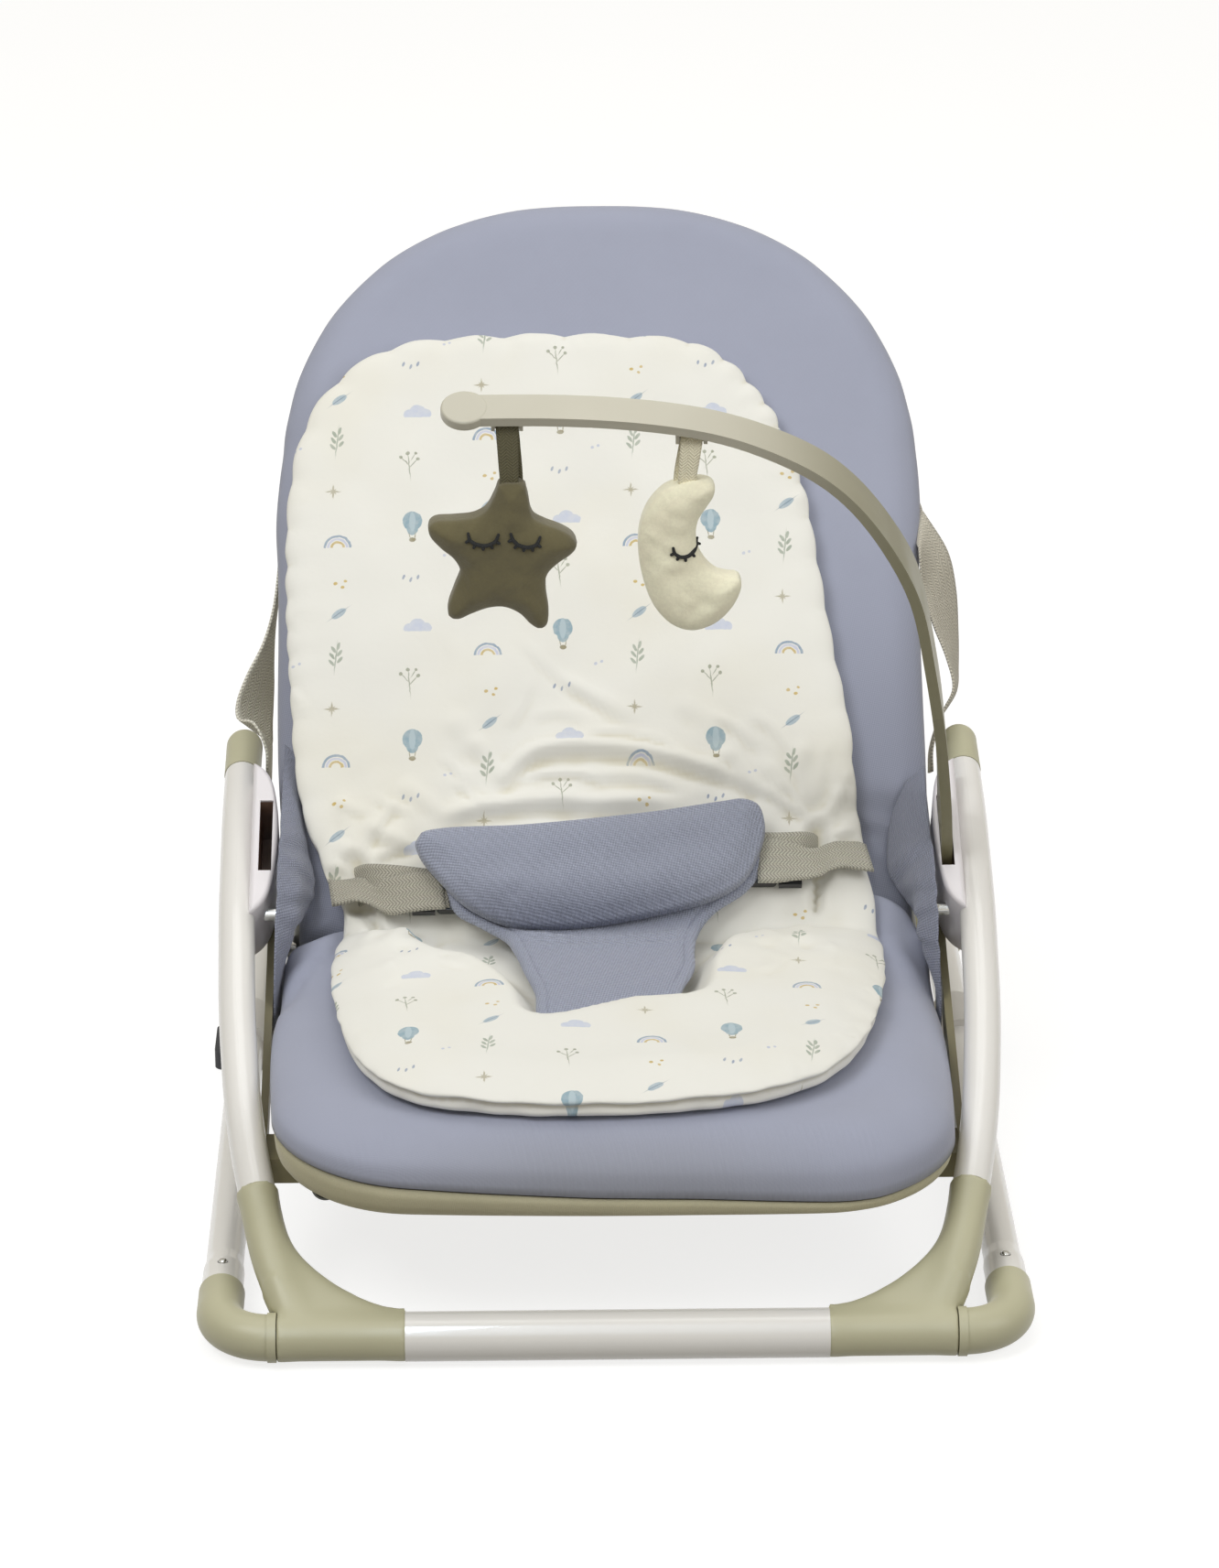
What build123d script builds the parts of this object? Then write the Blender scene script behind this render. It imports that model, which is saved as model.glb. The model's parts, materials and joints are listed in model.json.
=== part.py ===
from build123d import *
import os
from math import sin, cos, tan, radians, degrees, atan2, sqrt, pi, hypot

os.makedirs("parts", exist_ok=True)

# ---------------------------------------------------------------- driving sizes (mm)
# The model is laid out from the axis of the front floor bar (Y = 0) and the floor
# (Z = 0); every node is moved by SHIFT_Y when it is written, so that the whole
# object's box is centred on the Z axis.
SHIFT_Y = -339.3

AZ = 15.5              # height of the floor frame's tube axes
BAR_R, BAR_WALL = 14.3, 1.4
BAR_HALF = 121.0       # half length of the white front bar
SEAM_X = 194.0         # where the floor elbows meet the corner fittings
SPIGOT_R = 9.0         # elbow spigot that the corner fitting turns on
SPIGOT_GAP = 0.06

RAIL_X, RAIL_R, RAIL_WALL = 228.0, 11.0, 1.5
RAIL_Y0, RAIL_Y1 = 55.5, 546.0
REAR_Y = 584.0         # axis of the rear cross tube
ELBOW_R = 13.4

TUBE_R, TUBE_WALL = 11.0, 1.5
SIDE_PTS = [           # centre line of the right side tube
    (207.5, 80.2, 68.3), (216.0, 117.6, 90.5), (222.8, 195.8, 128.5),
    (225.8, 280.5, 161.0), (227.0, 367.6, 186.1), (227.0, 412.0, 194.7)]
SIDE_BEND = 560.0

HUB_C = (330.0, 174.0)  # (y, z) of the hub's centre
HUB_TILT = 25.0
HUB_LEN, HUB_TOP, HUB_BOT = 125.0, 20.0, -22.0
HUB_IN, HUB_OUT = 201.5, 218.0
SLOT_X, SLOT_W, SLOT_L, SLOT_D = 209.0, 8.0, 58.0, 36.0

PIVOT = (285.0, 155.0)  # (y, z) of the recline axis
PIN_R, PIN_GAP = 4.0, 0.06

SEAT_TOP, SEAT_BOT = 130.0, 84.0
SEAT_FRONT, SEAT_REAR, SEAT_HALF = 12.0, 279.0, 199.0

CREASE = (285.0, 133.0)
BACK_ANGLE = 45.0
BACK_LEN, BACK_THICK = 516.0, 45.0
FRAME_R = 9.5

# ---------------------------------------------------------------- helpers
def V(*p):
    return Vector(*p)

def put(name, shape):
    if isinstance(shape, (list, tuple)):
        shape = Compound(children=[s for s in shape])
    export_step(Location((0, SHIFT_Y, 0)) * shape, "parts/" + name + ".step")

def mir(shape):
    return mirror(shape, about=Plane.YZ)

def cyl(p, q, r):
    p, q = V(*p), V(*q)
    d = q - p
    return extrude(Plane(origin=p, z_dir=d) * Circle(r), amount=d.length)

def cone(p, q, r0, r1):
    p, q = V(*p), V(*q)
    d = q - p
    a = Plane(origin=p, z_dir=d)
    b = Plane(origin=q, z_dir=d, x_dir=a.x_dir)
    return loft([a * Circle(r0), b * Circle(r1)])

def bent_path(pts, radius):
    """Straight legs joined by tangent arcs of one radius, as a list of edges."""
    p = [V(*q) for q in pts]
    legs, at = [], p[0]
    for i in range(1, len(p) - 1):
        d1, d2 = (p[i] - p[i - 1]).normalized(), (p[i + 1] - p[i]).normalized()
        half = radians(d1.get_angle(d2)) / 2
        t = radius * tan(half)
        a, b = p[i] - d1 * t, p[i] + d2 * t
        m = p[i] + (d2 - d1).normalized() * (radius / cos(half) - radius)
        legs.append(Line(at, a))
        legs.append(ThreePointArc(a, m, b))
        at = b
    legs.append(Line(at, p[-1]))
    return legs

def tube_along(legs, r, wall=None):
    segs = []
    for e in legs:
        pl = Plane(origin=e @ 0, z_dir=e % 0)
        q = sweep(pl * Circle(r), e)
        if wall:
            q = q - sweep(pl * Circle(r - wall), e)
        segs.append(q)
    return segs[0].fuse(*segs[1:]) if len(segs) > 1 else segs[0]

def box(x0, x1, y0, y1, z0, z1):
    return Location(((x0 + x1) / 2, (y0 + y1) / 2, (z0 + z1) / 2)) * Box(
        x1 - x0, y1 - y0, z1 - z0)

def soft_fillet(shape, edges, radii):
    for r in radii:
        try:
            out = fillet(edges, r)
            if out.is_valid:
                return out
        except Exception:
            pass
    return shape

# directions of the tilted frames
hy, hz = cos(radians(HUB_TILT)), sin(radians(HUB_TILT))
HUB_PLANE = Plane(origin=(0, HUB_C[0], HUB_C[1]), x_dir=(1, 0, 0), z_dir=(0, -hz, hy))   # x = X, y = h, z = a
by, bz = cos(radians(BACK_ANGLE)), sin(radians(BACK_ANGLE))
BACK_PLANE = Plane(origin=(0, CREASE[0], CREASE[1]), x_dir=(1, 0, 0), z_dir=(0, -bz, by))  # x = X, y = L, z = n

def on_back(x, L, n):
    return (x, CREASE[0] + L * by - n * bz, CREASE[1] + L * bz + n * by)

def on_hub(x, h, a):
    return (x, HUB_C[0] + h * hy - a * hz, HUB_C[1] + h * hz + a * hy)

def closed(pts):
    """Face from an open list of (x, y) points closed by straight lines."""
    return make_face(Polyline(*pts, close=True))

def smooth_face(pts, straight_end=True):
    """Face bounded by a spline through pts and a straight closing line."""
    s = Spline(*pts)
    return make_face([s, Line(s @ 1, s @ 0)])

# ---------------------------------------------------------------- floor frame (base)
def floor_elbow():
    path = bent_path([(SEAM_X + 0.4, 0, AZ), (RAIL_X, 0, AZ), (RAIL_X, RAIL_Y0 - 1.0, AZ)], 30)
    s = tube_along(path, ELBOW_R)
    s += cyl((SEAM_X + 0.4, 0, AZ), (SEAM_X + 5.5, 0, AZ), BAR_R)
    s += cyl((SEAM_X - 28, 0, AZ), (SEAM_X + 2, 0, AZ), SPIGOT_R)
    s += cyl((RAIL_X, RAIL_Y0 - 4, AZ), (RAIL_X, RAIL_Y0 + 34, AZ), RAIL_R - RAIL_WALL)
    s -= cyl((RAIL_X, RAIL_Y0 + 17, AZ + 1), (RAIL_X, RAIL_Y0 + 17, AZ + 14), 3.1)
    s -= box(RAIL_X - 7, RAIL_X + 7, 28, 50, -1, 5)
    return s

def floor_rail():
    prof = [(RAIL_R - RAIL_WALL, RAIL_Y0), (RAIL_R + 1.1, RAIL_Y0), (RAIL_R + 1.1, RAIL_Y0 + 24), (RAIL_R, RAIL_Y0 + 36),
            (RAIL_R, RAIL_Y1), (RAIL_R - RAIL_WALL, RAIL_Y1)]
    s = revolve(make_face(Polyline(*prof, close=True)), Axis.Y)
    s = Location((RAIL_X, 0, AZ)) * s
    s = s - cyl((RAIL_X, RAIL_Y0 + 17, AZ + 2), (RAIL_X, RAIL_Y0 + 17, AZ + 18), 3.1)
    return s

def rear_elbow():
    path = bent_path([(RAIL_X, RAIL_Y1 + 0.8, AZ), (RAIL_X, REAR_Y, AZ), (SEAM_X - 6, REAR_Y, AZ)], 26)
    s = tube_along(path, ELBOW_R)
    s += cyl((RAIL_X, RAIL_Y1 - 30, AZ), (RAIL_X, RAIL_Y1 + 4, AZ), RAIL_R - RAIL_WALL)
    s += cyl((SEAM_X - 36, REAR_Y, AZ), (SEAM_X - 4, REAR_Y, AZ), RAIL_R - RAIL_WALL)
    s -= box(SEAM_X - 3, SEAM_X + 9, REAR_Y - 7, REAR_Y + 7, -1, 5)
    return s

def rear_foot():
    base = Location((RAIL_X, 415, 6)) * Box(42, 44, 12)
    top = cyl((RAIL_X, 393, AZ), (RAIL_X, 437, AZ), 15.6)
    s = base + (top & box(RAIL_X - 30, RAIL_X + 30, 390, 440, 0, 40))
    s = soft_fillet(s, s.edges().filter_by(Axis.Z), [6, 4])
    return s - cyl((RAIL_X, 380, AZ), (RAIL_X, 450, AZ), RAIL_R + 0.02)

elbow = floor_elbow()
rail = floor_rail()
relbow = rear_elbow()
foot = rear_foot()
put("floor_elbow_right", elbow)
put("floor_elbow_left", mir(elbow))
put("floor_rail_right", rail)
put("floor_rail_left", mir(rail))
put("rear_elbow_right", relbow)
put("rear_elbow_left", mir(relbow))
cross = cyl((-SEAM_X + 7, REAR_Y, AZ), (SEAM_X - 7, REAR_Y, AZ), RAIL_R) - cyl(
    (-SEAM_X, REAR_Y, AZ), (SEAM_X, REAR_Y, AZ), RAIL_R - RAIL_WALL)
put("rear_cross_tube", cross)
put("rubber_foot_right", foot)
put("rubber_foot_left", mir(foot))
pad_f = box(RAIL_X - 7, RAIL_X + 7, 28, 50, 0, 5)
pad_f = soft_fillet(pad_f, pad_f.edges().group_by(Axis.Z)[0], [1.0])
pad_r = box(SEAM_X - 3, SEAM_X + 9, REAR_Y - 7, REAR_Y + 7, 0, 5)
pad_r = soft_fillet(pad_r, pad_r.edges().group_by(Axis.Z)[0], [1.0])
put("front_foot_pads", [pad_f, mir(pad_f)])
put("rear_foot_pads", [pad_r, mir(pad_r)])
snap = cone((RAIL_X, RAIL_Y0 + 17, AZ + 1), (RAIL_X, RAIL_Y0 + 17, AZ + 13.4), 2.95, 2.6)
snap = soft_fillet(snap, snap.edges().group_by(Axis.Z)[-1], [1.4, 1.0])
put("rail_snap_buttons", [snap, mir(snap)])

# ---------------------------------------------------------------- front bar and corner fittings
bar = cyl((-BAR_HALF, 0, AZ), (BAR_HALF, 0, AZ), BAR_R) - cyl((-BAR_HALF - 1, 0, AZ), (BAR_HALF + 1, 0, AZ), BAR_R - BAR_WALL)
put("front_bar", bar)

side_path = bent_path(SIDE_PTS, SIDE_BEND)
C0 = V(*SIDE_PTS[0])
D0 = (V(*SIDE_PTS[1]) - C0).normalized()

def corner_fitting():
    s = cyl((BAR_HALF + 0.2, 0, AZ), (SEAM_X, 0, AZ), BAR_R)
    s += cyl((BAR_HALF - 20, 0, AZ), (BAR_HALF + 2, 0, AZ), BAR_R - BAR_WALL)
    start = V(178, 0, AZ)
    knee = C0 - D0 * 50.5
    end = C0 - D0 * 0.3
    path = bent_path([tuple(start), tuple(knee), tuple(end)], 150)
    s += tube_along(path, 12.7)
    # concave web between the bar and the branch, in the plane of the two
    t_dir = V(0, D0.Y, D0.Z).normalized()
    web_plane = Plane(origin=(0, 0, AZ), x_dir=(1, 0, 0), z_dir=V(1, 0, 0).cross(t_dir))
    inner = [(121.2, 13.6), (131, 16.0), (144, 21.5), (160, 31.5), (173.7, 43.5), (184.4, 57.0), (190.5, 72.0), (195.5, 90.0)]
    sp = Spline(*inner)
    lo = [(202, 90), (190, 50), (178, 10), (178, 0), (121.2, 0)]
    face = make_face([sp, Line(inner[-1], lo[0])] + [Line(lo[i], lo[i + 1]) for i in range(len(lo) - 1)] + [Line(lo[-1], inner[0])])
    web = extrude(web_plane * face, amount=10.5, both=True)
    s += web
    # socket of the elbow's spigot, and the stub that the side tube sits on
    s -= cyl((SEAM_X - 29, 0, AZ), (SEAM_X + 2, 0, AZ), SPIGOT_R + SPIGOT_GAP)
    s += cyl(tuple(C0 - D0 * 4), tuple(C0 + D0 * 14), TUBE_R - TUBE_WALL - 0.2)
    s -= cyl((SEAM_X, 0, AZ), (SEAM_X + 60, 0, AZ), BAR_R + 0.6)
    return s

fitting = corner_fitting()
put("corner_fitting_right", fitting)
put("corner_fitting_left", mir(fitting))

# ---------------------------------------------------------------- side tubes and caps
side = tube_along(side_path, TUBE_R, TUBE_WALL)
C1 = V(*SIDE_PTS[-1])
D1 = (C1 - V(*SIDE_PTS[-2])).normalized()
cap = cyl(tuple(C1 + D1 * 0.3), tuple(C1 + D1 * 34), TUBE_R + 0.4)
cap += Location(tuple(C1 + D1 * 34)) * Sphere(TUBE_R + 0.4)
cap += cyl(tuple(C1 - D1 * 18), tuple(C1 + D1 * 3), TUBE_R - TUBE_WALL - 0.05)
put("tube_end_cap_right", cap)
put("tube_end_cap_left", mir(cap))

# ---------------------------------------------------------------- hubs
def hub():
    half = HUB_LEN / 2
    pts = [(HUB_OUT, -half), (209.5, -half + 9), (203.4, -half + 32), (HUB_IN, -6), (HUB_IN, 14),
           (203.6, half - 28), (209.5, half - 8), (HUB_OUT, half)]
    sp = Spline(*pts)
    face = make_face([sp, Line(pts[-1], pts[0])])
    s = extrude(HUB_PLANE.offset(HUB_BOT) * face, amount=HUB_TOP - HUB_BOT)
    top = [e for e in s.edges() if e.length > 100 and abs(HUB_PLANE.to_local_coords(e.center()).Z - HUB_TOP) < 1]
    s = soft_fillet(s, top, [3.0, 2.0, 1.2])
    # saddle for the side tube
    s -= tube_along(side_path, TUBE_R + 0.05)
    # toy-arm slot
    slot = HUB_PLANE.offset(HUB_TOP - SLOT_D) * (Location((SLOT_X, 0, 0)) * Rectangle(SLOT_W, SLOT_L))
    s -= extrude(slot, amount=SLOT_D + 5)
    # button well in the underside, towards the rear end
    s -= cyl(on_hub(209.5, 42, HUB_BOT - 1), on_hub(209.5, 42, HUB_BOT + 16), 5.3)
    # recline pin
    s -= cyl((190, PIVOT[0], PIVOT[1]), (213.2, PIVOT[0], PIVOT[1]), PIN_R + 0.01)
    return sorted(s.solids(), key=lambda q: q.volume)[-1]

hub_r = hub()
put("side_tube_right", side)
put("side_tube_left", mir(side))
put("hub_housing_right", hub_r)
put("hub_housing_left", mir(hub_r))

pin = cyl((191.5, PIVOT[0], PIVOT[1]), (213, PIVOT[0], PIVOT[1]), PIN_R)
pin += cyl((191.5, PIVOT[0], PIVOT[1]), (194.6, PIVOT[0], PIVOT[1]), 7.0)
put("recline_pins", [pin, mir(pin)])

button = cyl(on_hub(209.5, 42, HUB_BOT - 5), on_hub(209.5, 42, HUB_BOT + 5), 5.2)
button = soft_fillet(button, button.edges().group_by(Axis.Z)[0], [1.2, 0.8])
button += cyl(on_hub(209.5, 42, HUB_BOT + 4), on_hub(209.5, 42, HUB_BOT + 9), 2.2)
put("recline_button_right", button)
put("recline_button_left", mir(button))

def spring():
    pl = HUB_PLANE.offset(HUB_BOT + 5.35)
    h = Helix(pitch=2.3, height=9.8, radius=3.6)
    w = Plane(origin=h @ 0, z_dir=h % 0) * Circle(0.35)
    s = sweep(w, h, is_frenet=True)
    p = on_hub(209.5, 42, HUB_BOT + 5.6)
    return Plane(origin=p, x_dir=(1, 0, 0), z_dir=(0, -hz, hy)).location * s

spr = spring()
put("button_spring_right", spr)
put("button_spring_left", mir(spr))

# ---------------------------------------------------------------- seat: frame, brackets, underside, cushion
sf_z = 69.0
side_rail = cyl((168, 83, sf_z), (168, 262, sf_z), 8.0) - cyl((168, 82, sf_z), (168, 263, sf_z), 6.8)
put("seat_frame_tube_right", side_rail)
put("seat_frame_tube_left", mir(side_rail))
def cross_seat(y):
    s = cyl((-159.6, y, sf_z), (159.6, y, sf_z), 8.0) - cyl((-162, y, sf_z), (162, y, sf_z), 6.8)
    return s
put("seat_frame_cross_front", cross_seat(95))
put("seat_frame_cross_rear", cross_seat(240))

def side_arm():
    # flat arm from the hub's underside forward to the block that carries the seat frame
    p1 = on_hub(0, -40, HUB_BOT - 0.05)
    p2 = on_hub(0, -12, HUB_BOT - 0.05)
    pts = [p2[1:], p1[1:], (282, 126.6), (232, 109), (150, 80), (104, 77.6), (104, 62), (146, 62), (240, 92), (318, 128)]
    f = make_face(Polyline(*[tuple(p) for p in pts], close=True))
    s = extrude(Plane.YZ.offset(203.6) * f, amount=4.6)
    s += box(158, 206, 104, 138, 62, 77.5)
    s -= cyl((168, 90, sf_z), (168, 150, sf_z), 8.03)
    s -= tube_along(side_path, TUBE_R + 0.3)
    return sorted(s.solids(), key=lambda q: q.volume)[-1]
arm_plate = side_arm()
put("seat_side_arm_right", arm_plate)
put("seat_side_arm_left", mir(arm_plate))

def seat_outline(half, front, rear, r_front, r_rear):
    pts = [(-half, rear), (-half, front), (half, front), (half, rear)]
    f = make_face(Polyline(*pts, close=True))
    f = fillet(f.vertices().group_by(Axis.Y)[0], r_front)
    f = fillet(f.vertices().group_by(Axis.Y)[-1], r_rear)
    return f

under = extrude(Plane.XY.offset(77.6) * seat_outline(SEAT_HALF - 3, SEAT_FRONT + 6, SEAT_REAR - 2, 84, 10), amount=6.2)
put("seat_underside", under)
cush = extrude(Plane.XY.offset(SEAT_BOT) * seat_outline(SEAT_HALF, SEAT_FRONT, SEAT_REAR, 86, 10), amount=SEAT_TOP - SEAT_BOT)
cush = soft_fillet(cush, [e for e in cush.edges() if e.center().Z > SEAT_TOP - 1 and e.center().Y < SEAT_REAR - 3], [18, 14, 10])
put("seat_cushion", cush)

# ---------------------------------------------------------------- insert pad, seat part
seat_pad_pts = [(-160, 281), (-167, 260), (-167, 232), (-161, 172), (-152, 121), (-137, 84), (-118, 62), (-78, 47), (-16, 42),
                (58, 50), (95, 64), (122, 86), (143, 121), (157, 172), (165, 225), (167, 260), (163, 281)]
sp = Spline(*seat_pad_pts)
seat_pad_face = make_face([sp, Line(sp @ 1, sp @ 0)])
seat_pad = extrude(Plane.XY.offset(SEAT_TOP + 0.3) * seat_pad_face, amount=26)
seat_pad -= box(-300, 300, 184, 320, SEAT_TOP + 14, SEAT_TOP + 60)
put("insert_pad_seat", seat_pad)

# ---------------------------------------------------------------- backrest
back_half = [(0, 197), (93, 199.5), (171, 200), (230, 197.5), (298, 195), (322, 194.5), (352, 196), (379, 194), (405, 188.5), (427, 180.5), (445, 170), (462, 157),
             (479, 140.5), (496, 117), (508, 93), (516, 68), (522, 0)]
shell_half = [(0, 197), (93, 199.5), (171, 200), (230, 197), (298, 193), (346, 188), (379, 183.5), (412, 178), (429, 171),
              (445, 161), (462, 145), (479, 126), (496, 98), (508, 66), (516, 0)]
left = [(-w, L) for L, w in back_half]
right = [(w, L) for L, w in reversed(back_half[:-1])]
lo_l, lo_r = (-188, 4), (188, 4)
spb = Spline(*(left[1:] + right[:-1]))
back_face = make_face([Line(lo_l, left[1]), spb, Line(right[-2], lo_r), Line(lo_r, lo_l)])
bcush = extrude(BACK_PLANE.offset(-BACK_THICK) * back_face, amount=BACK_THICK - 0.2)
def back_box(x0, x1, L0, L1, n0, n1):
    b = Location(((x0 + x1) / 2, (L0 + L1) / 2, (n0 + n1) / 2)) * Box(x1 - x0, L1 - L0, n1 - n0)
    return BACK_PLANE.location * b
for sgn in (1, -1):
    x0, x1 = sorted((sgn * 190.5, sgn * 230))
    bcush -= back_box(x0, x1, -20, 62, -80, 60)
put("backrest_cushion", bcush)

def off_face(k):
    l = [(-(w - k), L) for L, w in shell_half[1:-1]] + [(0, 516 - k)] + [((w - k), L) for L, w in reversed(shell_half[1:-1])]
    l = [(x, min(L, 516 - k - (0.0 if abs(x) < 1 else 2.0))) for x, L in l]
    s = Spline(*l)
    return make_face([s, Line(l[-1], (l[-1][0] - 6, 12)), Line((l[-1][0] - 6, 12), (l[0][0] + 6, 12)), Line((l[0][0] + 6, 12), l[0])])

rear_cover = extrude(BACK_PLANE.offset(-BACK_THICK - 2 * FRAME_R - 5.0) * off_face(8), amount=3.6)
put("backrest_rear_cover", rear_cover)

fn = -BACK_THICK - FRAME_R - 0.4
up = cyl(on_back(186.8, -4, fn), on_back(166, 372, fn), FRAME_R)
up -= cyl(on_back(186.8 + 0.1, -6, fn), on_back(166, 373, fn), FRAME_R - 1.3)
put("backrest_tube_right", up)
put("backrest_tube_left", mir(up))
tp = [on_back(x, L, fn) for x, L in [(-165.93, 372.6), (-164.2, 405), (-120, 466), (-56, 488), (56, 488), (120, 466), (164.2, 405), (165.93, 372.6)]]
bow_path = bent_path(tp, 42)
bow = tube_along(bow_path, FRAME_R, 1.3)
put("backrest_bow", bow)
bc = cyl(on_back(-169.0, 210, fn), on_back(169.0, 210, fn), 7.0)
bc -= cyl(on_back(-170, 210, fn), on_back(170, 210, fn), 5.8)
for sgn in (1, -1):
    bc -= cyl(on_back(sgn * 186.8, -4, fn), on_back(sgn * 166, 372, fn), FRAME_R + 0.02)
bc = sorted(bc.solids(), key=lambda q: q.volume)[-1]
put("backrest_cross_tube", bc)

def lug():
    # plate from the frame tube's foot to the recline pin
    ex = BACK_PLANE.to_local_coords(V(0, PIVOT[0], PIVOT[1]))
    c1 = (ex.Y, ex.Z)
    c2 = (16.0, fn)
    pl = Plane(origin=(196.7, CREASE[0], CREASE[1]), x_dir=(0, by, bz), z_dir=(1, 0, 0))   # x = L, y = n
    f = make_hull([*(Location((c1[0], c1[1])) * Circle(11)).edges(), *(Location((c2[0], c2[1])) * Circle(13)).edges()])
    s = extrude(pl * f, amount=3.8)
    s -= cyl((190, PIVOT[0], PIVOT[1]), (216, PIVOT[0], PIVOT[1]), PIN_R + PIN_GAP)
    s += cyl(on_back(192.5, 16, fn), on_back(197.2, 16, fn), 8.0) - cyl(on_back(186.8, -4, fn), on_back(166, 372, fn), FRAME_R + 0.02)
    return sorted(s.solids(), key=lambda q: q.volume)[-1]
lg = lug()
put("backrest_lug_right", lg)
put("backrest_lug_left", mir(lg))

back_pad_pts = [(-160, 22), (-169, 36), (-176, 55), (-185, 80), (-191, 110), (-195, 166), (-197.5, 204), (-198.5, 250), (-198, 293), (-194, 326), (-188, 350),
                (-174, 376), (-151, 398), (-120, 411), (-60, 416), (0, 416), (50, 411), (82, 398), (99, 378), (112, 358), (122, 329), (129, 306),
                (138, 242), (143, 204), (149, 166), (153, 141), (155, 98), (157, 74), (160, 49), (165, 22)]
bp_pts = back_pad_pts[::2] + [back_pad_pts[-1]]
spp = Spline(*bp_pts)
back_pad = extrude(BACK_PLANE.offset(0.2) * make_face([spp, Line(spp @ 1, spp @ 0)]), amount=15.5)
put("insert_pad_back", back_pad)

# ---------------------------------------------------------------- harness
bp_c = (43.0, 36.0)      # (L, n) of the belly pad's centre
belly = BACK_PLANE.location * (Location((0, bp_c[0], bp_c[1])) * Box(212, 58, 22))
belly = soft_fillet(belly, belly.edges(), [7, 5, 3])
put("belly_pad", belly)
cp = [(-86, 273), (86, 273), (74, 250), (46, 222), (44, 186), (-44, 186), (-46, 222), (-74, 250)]
crotch = extrude(Plane.XY.offset(SEAT_TOP + 14.6) * make_face(Polyline(*cp, close=True)), amount=9)
put("crotch_pad", crotch)

def buckle(sgn, x_in, x_out, L0):
    # socket between the belly pad and the insert pad, with the tongue in it
    n0 = 17.2
    x0, x1 = sorted((sgn * x_in, sgn * x_out))
    body = back_box(x0, x1, L0, L0 + 26, n0, n0 + 7.4)
    body = soft_fillet(body, body.edges().filter_by(Axis((0, 0, 0), (0, -bz, by))), [3, 2])
    m0, m1 = sorted((sgn * (x_out - 18), sgn * (x_out + 1)))
    body -= back_box(m0, m1, L0 + 5, L0 + 21, n0 + 2.0, n0 + 5.4)
    t0, t1 = sorted((sgn * (x_out - 17), sgn * (x_out + 3)))
    tongue = back_box(t0, t1, L0 + 5.2, L0 + 20.8, n0 + 2.2, n0 + 5.2)
    h0, h1 = sorted((sgn * (x_out + 1.0), sgn * (x_out + 15)))
    head = back_box(h0, h1, L0 - 1, L0 + 27, n0 + 0.6, n0 + 6.8)
    g0, g1 = sorted((sgn * (x_out + 7.5), sgn * (x_out + 11.5)))
    head -= back_box(g0, g1, L0 + 2, L0 + 24, n0 - 1, n0 + 9)
    return body, tongue + head

b_l, t_l = buckle(-1, 72, 104, 14)
b_r, t_r = buckle(1, 72, 104, 30)
put("buckle_socket_left", b_l)
put("buckle_socket_right", b_r)
put("buckle_tongue_left", t_l)
put("buckle_tongue_right", t_r)

def ribbon(stations, thick):
    """Strap through stations of (centre, width direction, width), as a closed shell of flat facets."""
    rings = []
    n = len(stations)
    for i, (c, w, wid) in enumerate(stations):
        a = V(*stations[max(i - 1, 0)][0])
        b = V(*stations[min(i + 1, n - 1)][0])
        t = (b - a).normalized()
        wd = V(*w)
        wd = (wd - t * wd.dot(t)).normalized()
        nd = t.cross(wd)
        c = V(*c)
        rings.append([c + wd * (wid / 2) + nd * (thick / 2), c - wd * (wid / 2) + nd * (thick / 2),
                      c - wd * (wid / 2) - nd * (thick / 2), c + wd * (wid / 2) - nd * (thick / 2)])
    tris = []
    for r0, r1 in zip(rings, rings[1:]):
        for k in range(4):
            p, q, u, v = r0[k], r0[(k + 1) % 4], r1[(k + 1) % 4], r1[k]
            tris += [(p, q, u), (p, u, v)]
    a, z = rings[0], rings[-1]
    tris += [(a[0], a[2], a[1]), (a[0], a[3], a[2]), (z[0], z[1], z[2]), (z[0], z[2], z[3])]
    for flip in (False, True):
        s = Solid(Shell([Face(Wire.make_polygon([p, r, q] if flip else [p, q, r], close=True)) for p, q, r in tris]))
        if s.volume > 0:
            return s
    return s

def waist_strap(sgn, L0, x_tip):
    wd = (0, by, bz)
    e = [(on_back(sgn * 121.0, L0, 21.0), wd, 21), (on_back(sgn * 134, L0 + 1, 27.0), wd, 24), (on_back(sgn * 152, L0 + 2, 25), wd, 25),
         (on_back(sgn * x_tip, L0 + 3, 19.5), wd, 25)]
    return ribbon(e, 1.4)
ws_l = waist_strap(-1, 27, 176)
ws_r = waist_strap(1, 43, 172)
put("waist_strap_left", ws_l)
put("waist_strap_right", ws_r)

# carry straps: from the back of the backrest to the inner side of the tube caps
def carry_strap(bulge):
    e = [(on_back(182.4, 324, -58.0), (0, by, bz), 36),
         (on_back(191, 320, -58.5), (0, by, bz), 36),
         (on_back(203, 302, -51.0), (0, by, bz), 36),
         ((211 + bulge, 497, 284), (0, .75, .55), 36),
         ((216 + bulge, 474, 250), (0.1, .85, .40), 35),
         ((214, 452, 226), (0.35, .9, .05), 34)]
    return ribbon(e, 1.4)
cs_r = carry_strap(9)
cs_l = carry_strap(4)
put("carry_strap_right", cs_r)
put("carry_strap_left", mir(cs_l))

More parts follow.
